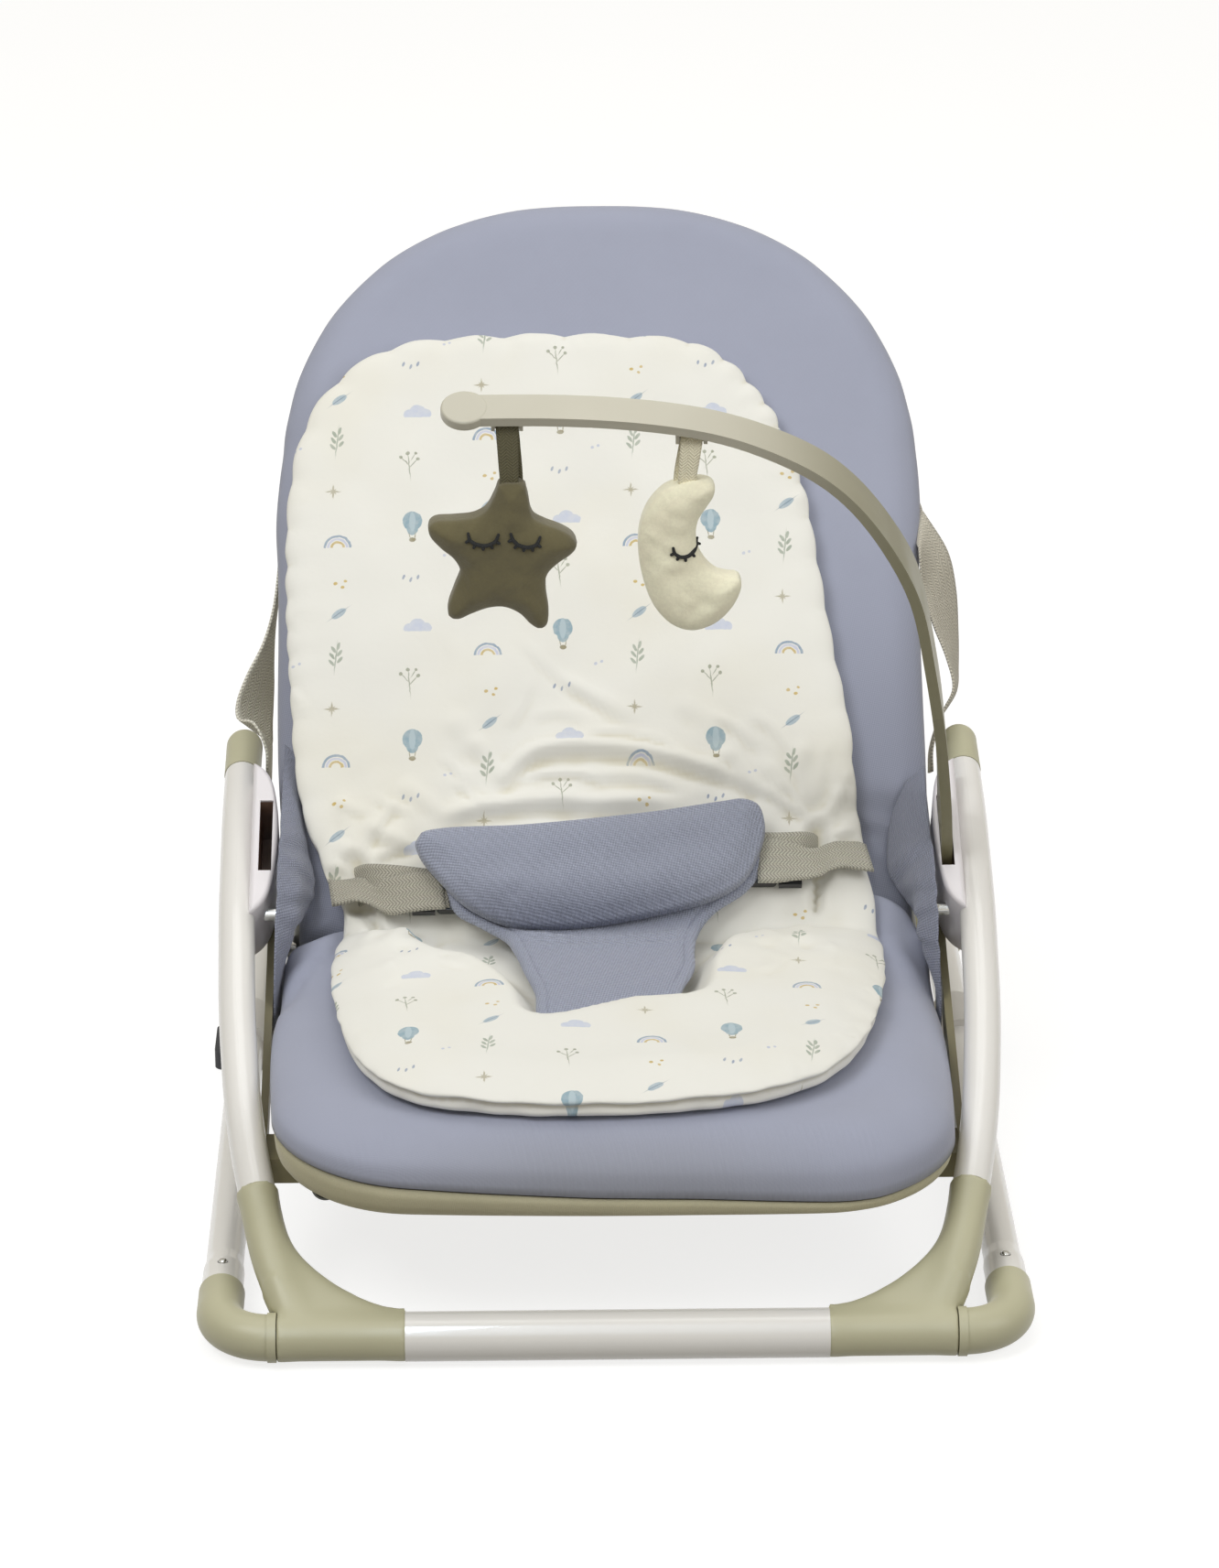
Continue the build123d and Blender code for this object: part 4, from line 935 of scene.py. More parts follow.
def cover_out(x, L, d):
    P = np.stack([x, L], -1)
    tube = np.exp(-((np.abs(x) - (187 - 0.0555 * L)) / 16) ** 2) * (1 - soft(L, 380, 430))
    hollow = 5.0 * np.exp(-(x / 110) ** 2) * soft(L, 20, 120) * (1 - soft(L, 330, 470)) * (1 - 0.62 * np.exp(-((L - 206) / 26) ** 2))
    low_tube = 1.6 * np.exp(-((np.abs(x) - 182) / 13) ** 2) * (1 - soft(L, 100, 150))
    seam = 1.5 * np.exp(-((d - 25) / 1.5) ** 2) + 0.8 * np.exp(-(x / 1.6) ** 2) * soft(d, 26, 32)
    folds = 1.3 * (ridge(P, [(-150, 60), (-90, 84), (-30, 92)], 9) + ridge(P, [(150, 70), (96, 98), (40, 110)], 10) + ridge(P, [(-140, 330), (-100, 356), (-70, 392)], 10)
                   + ridge(P, [(136, 350), (104, 372), (84, 404)], 9) + ridge(P, [(-30, 40), (40, 46), (100, 38)], 8))
    return -44.5 - 22 * dome(d, 22) - 1.6 * tube - low_tube + seam - folds + hollow * soft(d, 20, 80) + 0.9 * waves(P, 70, 9) * soft(d, 5, 30)


cover = pillow("backrest_rear_cover_shell", cover_line, on_back, lambda x, L, d: -44.5 - 0.8 * dome(d, 8), cover_out,
               M["sagecloth"], "backrest", 7.0, (0.6, 2, 4.5, 8, 12, 17, 23))
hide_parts("backrest_rear_cover")

# ------------------------------------------------------------------ seat cushion and its sage underside


def corner(cx, cy, r, a0, a1, n=14):
    a = np.radians(np.linspace(a0, a1, n))
    return np.stack([cx + r * np.cos(a), cy + r * np.sin(a)], -1)


def seat_line(w, y0, y1, rf, rr, bow=3.0):
    P = np.vstack([corner(w - rf, y0 + rf, rf, -90, 0), corner(w - rr, y1 - rr, rr, 0, 90, 5),
                   corner(-w + rr, y1 - rr, rr, 90, 180, 5), corner(-w + rf, y0 + rf, rf, 180, 270)])
    P = resample(P, 4.0, True)
    P[:, 1] -= bow * (1 - (P[:, 0] / w) ** 2) * (P[:, 1] < y0 + rf)
    return P


def rim(x):
    """Height of the line where the blue cover meets the sage underside."""
    return np.interp(x, [-203, -181, -140, -78, -16, 46, 109, 150, 203], [107, 105, 102.3, 98.6, 95.6, 94.2, 90.8, 89.2, 93])


K_V, BEND = -3.5, 26.0
T_LEN = BEND * math.tan(math.radians(22.5))


def pad_place(x, v, h):
    """The surface that runs along the seat, round the crease and up the backrest."""
    x, v, h = (np.asarray(q, float) for q in (x, v, h))
    w = np.clip((v - (K_V - T_LEN)) / (2 * T_LEN), 0, 1)
    a = w * math.pi / 4
    y = np.where(v < K_V - T_LEN, 285 + v, 0.0)
    z = np.where(v < K_V - T_LEN, 130.3, 0.0)
    cy, cz = 285 + K_V - T_LEN, 130.3 + BEND
    mid = (v >= K_V - T_LEN)
    y = np.where(mid, cy + BEND * np.sin(a), y)
    z = np.where(mid, cz - BEND * np.cos(a), z)
    over = np.maximum(v - (K_V + T_LEN), 0)
    y, z = y + over * B45, z + over * B45
    return np.stack([x, y - np.sin(a) * h, z + np.cos(a) * h], -1)


front_arc = corner(115, -186, 84, -88, 0, 12)
SEAT = ([(0, -273)] + [(x, y) for x, y in front_arc] + [(201.0, -150), (202.2, -105), (202.0, -70), (200.0, -40), (197.6, -14), (195.6, 1), (190.4, 9), (182.5, 22), (171, 30), (160, 33),
                                                         (146, 33), (128, 24), (60, 12), (-60, 9), (-130, 11), (-150, 12.5), (-168, 9.5), (-183, 2.5), (-193, -3), (-198.0, -10),
                                                         (-198.6, -30), (-199.0, -48), (-201.8, -74), (-202.4, -105), (-201.0, -150)]
        + [(-x, y) for x, y in front_arc[::-1]])
seat_edge = ccw(spline(SEAT, 4.0))
_far = np.array([(x, y if y < -40 else y + 90) for x, y in seat_edge])       # the sides and front only, for the roll of the edge


def seat_top(x, v, d):
    P = np.stack([x, v], -1)
    ds, _ = to_outline(P, _far)
    ds = np.maximum(ds, 0)
    flatness = soft(v, -62, -8)                       # the rolled side runs out where the seat turns up
    z0 = rim(x) + 1.2 - 130.3
    side = z0 + (-1.1 - z0) * dome(ds, 46 - 8 * flatness, 2.25)
    hump_r = 7.5 * soft(x, 138, 172) * np.exp(-((v + 2) / 26) ** 2)
    hump_l = 5.5 * soft(-x, 150, 182) * np.exp(-((v + 18) / 22) ** 2)
    up = side + (hump_r + hump_l) * dome(ds, 14, 2.0)
    rise = soft(v, -16, 2)
    over = -0.7 + 6.2 * soft(np.abs(x), 150, 176) * dome(d, 9, 2.0)
    h = up * (1 - rise) + over * rise
    h = h + 0.5 * waves(P, 90, 5) * soft(d, 4, 40) * (1 - rise) - 0.4 * (1 - rise)
    hollow = -2.4 * np.exp(-((x - 150) / 42) ** 2 - ((v + 205) / 30) ** 2) - 1.4 * np.exp(-((x + 150) / 40) ** 2 - ((v + 200) / 30) ** 2)
    crease = -2.6 * ridge(P, [(-172, -8), (-186, -34), (-199, -66)], 5.0, 0.2) - 1.8 * ridge(P, [(176, 12), (190, -16), (200, -50)], 6.0, 0.3)
    return h + hollow + crease


def seat_under(x, v, d):
    low = rim(x) + 0.9 - 130.3 - 0.5 * dome(d, 4) - 13 * soft(d, 9, 16)
    rise = soft(v, -26, -13)
    thin = np.where(np.abs(x) > 148, 0.1 - 0.5 * dome(d, 5), -1.3)
    return low * (1 - rise) + np.minimum(thin, seat_top(x, v, d) - 0.6) * rise


seat = pillow("seat_cushion_cover", seat_edge, pad_place, seat_top, seat_under, M["blue"], "cradle", 5.0,
              (0.4, 1.2, 2.6, 4.6, 7.2, 10.4, 14.2, 18.5, 23.5, 29, 35), lip=0.9, lip_at=4)
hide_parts("seat_cushion")

pan_edge = ccw(resample(np.array([(x, 285 + v) for x, v in seat_edge if v < -12]), 5.0, True))
_c = np.array([0, 150.0])
pan_edge = _c + (pan_edge - _c) * (1 - 0.9 / 170)


def pan_low(x, y, d):
    return rim(x) - 0.6 - (rim(x) - 78.8) * dome(d, 20, 2.4)


pan = pillow("seat_underside_cover", pan_edge, lambda x, y, z: np.stack([x, y, z], -1),
             lambda x, y, d: rim(x) - 0.2 - 1.6 * dome(d, 6), pan_low, M["sagecloth"], "cradle", 6.0,
             (0.5, 1.5, 3, 5.5, 9, 13.5, 19), lip=0.9, lip_at=3)
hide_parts("seat_underside")

# ------------------------------------------------------------------ cream insert pad, one piece across the crease
PAD = [(58, 411), (82, 398), (99, 378), (112, 358), (122, 329), (129, 306), (138, 242), (143, 204), (149, 166), (153, 141), (155, 98), (157, 74),
       (160, 49), (164, 22), (165, 0), (167, -25), (166, -60), (158, -113), (144, -164), (123, -199), (96, -221), (58, -235), (-16, -243),
       (-78, -238), (-118, -223), (-138, -201), (-153, -164), (-162, -113), (-167, -60), (-166, -25), (-162, -2),
       (-161, 20), (-169, 36), (-176, 55), (-185, 80), (-191, 110), (-195, 166), (-197.5, 204), (-198.5, 250), (-198, 293), (-194, 326),
       (-188, 350), (-174, 376), (-151, 398), (-120, 411), (-60, 416), (0, 416)]
pad_line = ccw(spline(PAD, 3.2))
# the sewn edge is drawn in at every few centimetres
_n = len(pad_line)
_s = np.arange(_n) * 3.2
_ph = np.cumsum(3.2 * np.pi / (33 + 9 * np.sin(_s / 97.0) + 5 * np.sin(_s / 41.0 + 1)))
_ph *= round(_ph[-1] / np.pi) * np.pi / _ph[-1]
_amp = np.interp(pad_line[:, 1], [-240, -120, 0, 60, 200, 260, 330, 420], [0.25, 0.3, 0.8, 1.4, 1.2, 1.5, 2.2, 2.7])
_t = unit(np.roll(pad_line, -1, 0) - np.roll(pad_line, 1, 0))
_out = np.stack([_t[:, 1], -_t[:, 0]], -1)
pad_line = pad_line - _out * (0.9 + 1.5 * (1 - soft(pad_line[:, 1], -120, 0)))[:, None] + _out * (_amp * (np.abs(np.sin(_ph)) - 0.6))[:, None]
pad_scallop = np.abs(np.sin(_ph))

# lines of the waist straps (x, L, n), upper edge and lower edge
LT = [((-170.4, 39.9, 10.6), (-167.5, 18.1, 23.4)), ((-165.0, 38.8, 11.3), (-161.5, 18.3, 25.7)), ((-157.9, 39.0, 12.2), (-154.1, 19.2, 27.8)),
      ((-151.5, 38.6, 15.8), (-146.2, 17.6, 27.2)), ((-143.6, 35.9, 18.4), (-140.7, 14.1, 27.6)), ((-136.4, 34.6, 24.4), (-135.3, 10.7, 27.6)),
      ((-129.2, 34.9, 28.4), (-129.0, 9.6, 27.6)), ((-123.7, 35.9, 28.8), (-123.3, 10.2, 28.6)), ((-117.6, 36.8, 28.9), (-117.2, 11.3, 28.9)),
      ((-110, 37.6, 28.6), (-108.4, 12.4, 28.6)), ((-101, 37.4, 27.6), (-98.5, 13.4, 27.6))]
RT = [((92, 58.4, 27.4), (92, 29.0, 27.4)), ((101.8, 57.2, 28.6), (103.2, 28.2, 29.0)), ((107.3, 56.0, 28.6), (108.0, 28.6, 29.4)), ((113.8, 54.4, 28.4), (113.5, 29.4, 29.8)),
      ((120.0, 52.3, 28.0), (120.4, 29.6, 30.4)), ((124.5, 51.2, 27.0), (124.9, 30.4, 30.6)), ((129.3, 53.0, 23.6), (130.5, 32.2, 29.8)),
      ((135.0, 57.0, 19.2), (136.1, 36.6, 28.2)), ((142.2, 59.8, 16.6), (144.1, 39.0, 27.0)), ((150.2, 60.2, 15.0), (150.4, 38.9, 25.8)),
      ((155.7, 60.4, 13.8), (157.6, 38.5, 24.4)), ((159.7, 59.2, 12.2), (163.1, 37.9, 23.8))]
LS = [((-158, 48.0, 3.0), (-154, 23.5, 1.0)), ((-153.5, 48.0, 10.5), (-150.5, 23.2, 8.5)), ((-147.5, 47.0, 18.0), (-145, 22, 17)), ((-138, 44.4, 24.0), (-136.5, 19.2, 24.0)),
      ((-126, 42.4, 26.2), (-125, 17.2, 26.2)), ((-112, 40.4, 26.6), (-110, 15.6, 26.6)), ((-99, 38.8, 26.0), (-96, 15.0, 26.0))]
RS = [((131.8, 67.0, 3.0), (131.8, 42.0, 3.0)), ((129.4, 66.8, 10.0), (129.4, 41.6, 10.0)), ((125.6, 65.2, 18.5), (125.6, 40.0, 18.5)), ((119.0, 63.2, 25.0), (119.0, 38.2, 25.0)),
      ((108.7, 62.0, 26.8), (108.7, 36.9, 26.8)), ((97.6, 62.2, 26.4), (97.2, 37.1, 26.4)), ((88, 62, 25.6), (87, 37.6, 25.6))]


def sheet_points(rows):
    """Points (x, v, h) spread over a strap, in the insert pad's own terms."""
    A, B = np.array([a for a, _ in rows], float), np.array([b for _, b in rows], float)
    both = resample(np.hstack([A, B]), 2.2, False)
    t = np.linspace(-0.04, 1.04, 15)[None, :, None]
    g = (both[:, None, :3] * (1 - t) + both[:, None, 3:] * t).reshape(-1, 3)
    return g + [0, 0.9, -0.57]


PRESS = np.vstack([sheet_points(r) for r in (LT, RT, LS[1:], RS[1:])])


def press(P, h):
    """Keep the pad just under the straps that lie on it."""
    m = (P[:, 1] > -25) & (P[:, 1] < 95)
    Q = P[m]
    best = np.full(len(Q), 1e9)
    for k in range(0, len(Q), 1500):
        r = np.hypot(Q[k:k + 1500, None, 0] - PRESS[None, :, 0], Q[k:k + 1500, None, 1] - PRESS[None, :, 1])
        best[k:k + 1500] = (PRESS[None, :, 2] - 1.5 + 1.1 * np.maximum(r - 2.6, 0)).min(1)
    h = h.copy()
    h[m] = np.minimum(h[m], best)
    return h


DIP = ccw(spline([(-112, -16), (-100, -46), (-83, -53), (-64, -74), (-50, -106), (-41, -140), (-12, -129), (10, -118), (46, -111), (52, -88),
                  (55, -66), (68, -31), (84, -14), (94, 6), (70, 26), (0, 32), (-60, 28), (-108, 12)], 4.0))
PAD_FOLDS = [  # line (x, v), half width, height
    ([(-72, 92), (-50, 119.6), (-33.7, 126), (19.7, 124), (57, 114), (84, 103), (97, 88)], 5.0, 4.2),
    ([(-122, 72), (-84, 85), (-39, 91), (3, 89), (60, 92)], 5.5, 3.6),
    ([(-30, 176), (-1, 158), (22, 140)], 5.5, 1.5),
    ([(-84, 136), (-72, 118), (-60, 98)], 6.0, 2.2),
    ([(-132, 104), (-118, 96), (-100, 80)], 6.0, 2.0),
    ([(-150, 78), (-138, 70), (-118, 62)], 5.0, 2.2),
    ([(70, 128), (84, 110), (92, 92)], 5.0, 2.6),
    ([(98, 120), (106, 100), (110, 78)], 5.5, 2.4),
    ([(118, 132), (124, 108), (127, 84)], 6.0, 1.8),
    ([(146, 100), (142, 86), (132, 72)], 5.0, 2.2),
    ([(150, 72), (142, 64), (133, 58)], 4.0, 2.0),
    ([(-160, 66), (-158, 54), (-153, 44)], 4.0, 2.2),
    ([(-10, 108), (24, 106), (52, 98)], 4.5, 1.8),
    ([(-100, 150), (-88, 138), (-80, 122)], 7.0, 1.2),
    ([(40, 160), (62, 146), (74, 130)], 7.0, 1.2),
    ([(-60, 60), (-20, 62), (30, 68)], 7.0, 2.0),
    ([(-120, -12), (-128, -34), (-120, -52)], 7.0, 2.2),
    ([(112, -8), (122, -26), (112, -48)], 7.0, 2.2),
    ([(-95, -30), (-104, -48), (-98, -66)], 5.0, 1.4),
    ([(90, -22), (98, -36), (92, -54)], 5.0, 1.6),
    ([(-140, -12), (-146, -30), (-146, -52)], 6.0, 1.6),
    ([(-96, 104), (-86, 98), (-74, 84)], 2.4, 1.5),
    ([(-58, 104), (-36, 109), (-14, 108), (4, 101)], 2.2, 1.6),
    ([(-20, 134), (8, 137), (34, 131), (52, 120)], 2.6, 1.4),
    ([(-104, 122), (-92, 112), (-82, 98)], 2.6, 1.3),
    ([(64, 148), (80, 140), (96, 122)], 3.0, 1.5),
    ([(88, 150), (104, 138), (116, 118)], 3.2, 1.2),
    ([(104, 104), (116, 92), (122, 76)], 2.4, 1.4),
    ([(-146, 96), (-134, 88), (-118, 82)], 2.6, 1.3),
    ([(-168, 92), (-158, 86), (-146, 84)], 2.8, 1.1),
    ([(-48, 146), (-30, 150), (-10, 146)], 3.2, 0.9),
    ([(-136, -66), (-128, -84), (-130, -104)], 4.5, 1.1),
    ([(-108, -58), (-98, -74), (-84, -84)], 4.0, 1.2),
    ([(104, -60), (100, -78), (86, -92)], 4.0, 1.2),
    ([(130, -40), (136, -60), (130, -84)], 4.5, 1.2),
    ([(127.6, 80), (121, 103), (112, 124)], 2.6, 1.7),
    ([(131, 82), (134, 108), (139, 132)], 2.8, 1.4),
    ([(124, 78), (108, 90), (92, 100)], 2.6, 1.5),
    ([(135, 78), (144, 92), (150, 112)], 2.6, 1.3),
    ([(-150, 58), (-140, 74), (-126, 92)], 2.6, 1.5),
    ([(-156, 60), (-160, 78), (-162, 98)], 2.6, 1.3),
    ([(-146, 52), (-128, 60), (-112, 62)], 2.6, 1.3),
    ([(-64, 138), (-52, 152), (-44, 176)], 3.6, 0.9),
    ([(-92, 150), (-90, 176), (-96, 206)], 5.0, 0.7),
    ([(66, 168), (72, 196), (70, 224)], 5.0, 0.8),
    ([(10, 146), (-8, 160), (-34, 180), (-58, 206)], 3.6, 1.0)]
SLITS = [([(-155.5, 52), (-151, 39), (-142.6, 10), (-139, -6)], 3.0, 8.0), ([(128.7, 74), (129.2, 57), (128.6, 33), (127, 12)], 3.0, 8.0)]


def pad_push(x, v, d, low=False):
    front = 1 - soft(v, -120, 0)
    P = np.stack([x, v], -1)
    a = (2.4 + 3.2 * front) * (1 + 0.13 * waves(P, 22, 61)) if not low else (2.0 + 1.1 * front) * (1 + 0.16 * waves(P, 30, 62))
    return a * (1 - np.exp(-d / 0.75)) * np.exp(-(d / 8.5) ** 2)


def pad_edge_phase(P):
    out = np.empty(len(P))
    for k in range(0, len(P), 3000):
        r = np.linalg.norm(P[k:k + 3000, None] - pad_line[None], axis=2)
        out[k:k + 3000] = pad_scallop[r.argmin(1)]
    return out


def pad_seam(x, v):
    front = 1 - soft(v, -150, -30)
    P = np.stack([x, v], -1)
    return 6.0 + 3.0 * front + 0.5 * np.sin(x / 23.0 + v / 31.0) + (0.3 + 0.35 * front) * waves(P, 34, 63)


def pad_top(x, v, d):
    P = np.stack([x, v], -1)
    seatness = 1 - soft(v, -45, 15)
    inner, _ = to_outline(P, DIP)
    body = 14.8 + 0.9 * waves(P, 75, 21) * soft(d, 5, 40)
    roll = 26.3 - 3.6 * soft(-inner, 12, 66)
    seat_h = np.where(inner > 0, 13 - 9.8 * soft(inner, -2, 12), 13 + (roll - 13) * soft(-inner, -1, 12))
    full = body * (1 - seatness) + seat_h * seatness
    near_crease = np.exp(-((v - 2) / 26) ** 2)
    full = full - 3.0 * near_crease * (1 - soft(np.abs(x), 90, 150))
    R = 13 + 23 * seatness
    hs = pad_seam(x, v)
    h = hs + (full - hs) * dome(d, R, 2.1 - 0.45 * seatness)
    ph = pad_edge_phase(P)
    gather = np.interp(v, [-240, -60, 60, 250, 420], [0.25, 0.6, 1.1, 1.3, 2.0])
    h = h - gather * (1 - ph) ** 1.5 * np.exp(-d / 11) * soft(d, 0, 4)
    h = h + 0.55 * waves(P, 9, 77) * np.exp(-((d - 7) / 5) ** 2) * soft(waves(P, 60, 78), 0.1, 0.9)
    for line, w, a in PAD_FOLDS:
        g = ridge(P, line, w)
        off = np.array(line, float) + [0.35 * w, -1.7 * w]
        h = h + 1.25 * a * g - 0.75 * a * ridge(P, off, w * 1.1)
    for line, w, a in SLITS:
        h = h + 3.4 * ridge(P, line, 11, 0.15) - (a + 3.4) * ridge(P, line, w, 0.12)
    busy = np.exp(-((v - 70) / 55) ** 2) * 0.55 + 0.10 + 0.35 * np.exp(-((v + 30) / 40) ** 2)
    h = h + busy * waves(P, 26, 31) * soft(d, 3, 18)
    h = np.maximum(h, hs * np.minimum(d, 1) + 1.2 * soft(d, 1, 8) + 0.2)
    return np.maximum(press(P, h), 1.2)


def pad_low(x, v, d):
    hs = pad_seam(x, v)
    return hs - (hs - 0.4) * dome(d, 7)


pad = pillow("insert_pad_quilted", pad_line, pad_place, pad_top, pad_low, M["cream"], None, 3.6,
             (0.3, 0.8, 1.5, 2.4, 3.6, 5.2, 7.4, 10.2, 13.5), push=pad_push, unroll=lambda x, v: 1.5 + 5.5 * (1 - soft(v, -120, -10)))
mark_creases(pad)
scene(pad_place(0, -34, 0))
scene(pad_place(0, 24, 0))
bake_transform(pad)
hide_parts("insert_pad_seat", "insert_pad_back")

# ------------------------------------------------------------------ crotch panel, belly pad
CR = np.array([(150, 143), (175, 149), (205, 151), (235, 150.5), (255, 150), (266, 152.5), (274, 157.8), (284, 167.4), (296, 179.4), (310, 193.4)], float)
CR_X = np.array([(-41.4, 41.1), (-44.9, 41.8), (-51.6, 50.4), (-57.3, 51.7), (-63.2, 53.9), (-76.7, 57.9), (-92.2, 66.1), (-98.2, 85.7), (-101.4, 95.2), (-98, 93)])
CRS = spline(CR, 2.0, False)
_cs = np.r_[0, np.cumsum(np.linalg.norm(np.diff(CRS, axis=0), axis=1))]
_ct = unit(np.gradient(CRS, axis=0))


def crotch_place(x, s, h):
    y, z = np.interp(s, _cs, CRS[:, 0]), np.interp(s, _cs, CRS[:, 1])
    ty, tz = np.interp(s, _cs, _ct[:, 0]), np.interp(s, _cs, _ct[:, 1])
    return np.stack([np.asarray(x, float), y - tz * h, z + ty * h], -1)


_st = np.array([_cs[np.argmin(np.hypot(*(CRS - p).T))] for p in CR])
cr_line = spline([(CR_X[i, 1], _st[i]) for i in range(len(CR))] + [(0, _st[-1] + 0.5)] + [(CR_X[i, 0], _st[i]) for i in range(len(CR) - 1, -1, -1)] + [(0, _st[0] - 1)], 2.5)


def crotch_h(sign):
    def f(x, s, d):
        P = np.stack([x, s], -1)
        fold = 1.2 * ridge(P, [(-66, 108), (-40, 100), (-20, 88)], 6) + 1.0 * ridge(P, [(60, 108), (40, 100), (24, 90)], 6)
        for off, am in ((0, 2.2), (7.5, 1.9), (15, 1.4)):
            fold = fold + am * ridge(P, [(-66, 112 - off), (-40, 101 - off), (0, 97 - off * 0.8), (38, 104 - off), (60, 114 - off)], 2.0)
        return sign * (0.6 + 3.4 * dome(d, 6) - 1.0 * np.exp(-((d - 6.5) / 1.3) ** 2)) + (fold + 0.25 * waves(P, 22, 44)) * (sign > 0) - sign * 0.6 * np.exp(-d)
    return f


crotch = pillow("crotch_panel", cr_line, crotch_place, crotch_h(1), crotch_h(-1), M["knit"], "cradle", 3.0, (0.4, 1.2, 2.4, 4, 5.4, 6.6, 8))
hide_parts("crotch_pad")

BELLY = [(-117, 56), (-113, 60.5), (-100, 63), (-50, 64), (29, 72), (70, 79), (84.5, 81), (93.5, 77), (97, 66), (95.5, 53), (84, 28.5), (70, 18), (54, 11.5), (12.7, 1.5),
         (-24, -3.5), (-60.5, -1), (-86, 12), (-103, 30), (-114, 45)]


def belly_mid(x):
    return 38.5 - 4.5 * (np.asarray(x, float) + 10) ** 2 / 110.0 ** 2


def belly_top(x, L, d):
    P = np.stack([x, L], -1)
    low = np.exp(-((L - 6) / 16) ** 2)
    pucker = 0.45 * np.sin(x * 0.62 + 0.8 * np.sin(x * 0.13)) * low * soft(d, 2, 8) * (1 - soft(d, 20, 40))
    groove = -1.3 * np.exp(-((d - 6.0) / 1.0) ** 2) * soft(x * 0.8 - L * 0.6, -40, 30)
    under = 1 - soft(L - 0.12 * x, 8, 46)
    body = (12.8 + 1.6 * under) * dome(d, 20 + 10 * under, 2.1 - 0.1 * under)
    dent = -2.6 * ridge(P, [(-58, 8), (-57, 16), (-54, 26)], 4.0, 0.5) - 1.5 * ridge(P, [(30, 6), (33, 13), (38, 20)], 3.5, 0.5)
    return belly_mid(x) - 3.5 + body + pucker + groove + dent + 0.45 * waves(P, 30, 61) * soft(d, 2, 12)


def belly_low(x, L, d):
    return belly_mid(x) - 3.5 - 4.0 * dome(d, 9)


belly = pillow("belly_pad_cover", spline(BELLY, 3.0), on_back, belly_top, belly_low, M["belly"], "cradle", 3.0,
               (0.35, 1.0, 2.1, 3.6, 5.6, 8.2, 11.5), lip=1.5, lip_at=2.6)
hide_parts("belly_pad")
for o in (belly, crotch, back, seat):
    mark_creases(o)

# ------------------------------------------------------------------ waist straps
def bk(p):
    return on_back(*p)


def strap_of(name, rows, body, thick=1.5, replaces=None, **kw):
    # left straps take the darker copy of the webbing: painted shade
    o = ribbon(name, [bk(a) for a, _ in rows], [bk(b) for _, b in rows], thick, M["web_left" if "left" in name else "web"], body, **kw)
    if replaces:
        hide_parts(replaces)
    return o


strap_of("waist_strap_left_tail", LT, None, thick=1.3, replaces="waist_strap_left", edge=0.12)
strap_of("waist_strap_right_tail", RT, None, thick=1.3, replaces="waist_strap_right", edge=0.12)
strap_of("waist_strap_left_hem", [((a[0] - 0.3, a[1], a[2] - 1.6), (b[0] - 0.3, b[1], b[2] - 1.6)) for a, b in LT[:3]], None, thick=1.4)
strap_of("waist_strap_right_hem", [((a[0] + 0.3, a[1], a[2] - 1.6), (b[0] + 0.3, b[1], b[2] - 1.6)) for a, b in RT[-4:]], None, thick=1.4)
strap_of("waist_strap_left_from_slit", LS, None, thick=1.3)
strap_of("waist_strap_right_from_slit", RS, None, thick=1.3)
# the webbing runs through the buckle tongue; each strap piece's placement is baked into its mesh
for tag, x0, x1 in (("left", -152, -122), ("right", 128, 104)):
    for part, a, b in (("tail", x0 * 1.6, x0 * 1.4), ("hem", x0 * 1.6, x0 * 1.4), ("from_slit", x0, x1)):
        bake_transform(bpy.data.objects["waist_strap_%s_%s" % (tag, part)], "cradle", "buckle_tongue_" + tag, scene(bk((a, 35, 20))), scene(bk((b, 35, 20))))

# ------------------------------------------------------------------ button springs, each copied into a coil on the cradle
PRESS_AXIS = np.array([0, -0.422618, 0.906308])
for tag in ("left", "right"):
    src = bpy.data.objects["button_spring_" + tag]
    me = src.data.copy()
    me.transform(src.matrix_world)
    coil = bpy.data.objects.new("button_spring_coil_" + tag, me)
    bpy.context.scene.collection.objects.link(coil)
    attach(coil, "cradle")
    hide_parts("button_spring_" + tag)
    co = np.array([v.co for v in me.vertices])
    up = co @ PRESS_AXIS
    top = co[up.argmax()] * 0 + co.mean(0) + PRESS_AXIS * (up.max() - up.mean())
    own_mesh(coil)

# ------------------------------------------------------------------ stretch mesh that closes the corner between seat, backrest and hub
MESH_OUT = [(202.5, 237, 88), (202.6, 240, 108), (202.4, 247, 130), (202.1, 255, 147), (201.6, 265, 163), (201.0, 279, 178), (200.2, 299, 190),
            (199.6, 322, 199), (199.4, 346, 208), (199.2, 364, 217), (198.6, 382, 228)]
MESH_IN = {-1: [(198.5, 290, 88), (198, 291, 108), (197, 292, 127), (192.5, 292.5, 140), (185, 295, 151), (180, 303, 159), (180, 314, 169),
                (184, 328, 181), (187.5, 343, 195), (190, 358, 208), (192, 376, 224)],
           1: [(200.8, 258, 88), (200.6, 262, 108), (199.6, 276, 125), (197.5, 289, 137), (190, 297, 147), (182, 303, 156), (174, 312, 168),
               (174, 328, 181), (178, 343, 195), (187, 358, 209), (194, 374, 224)]}


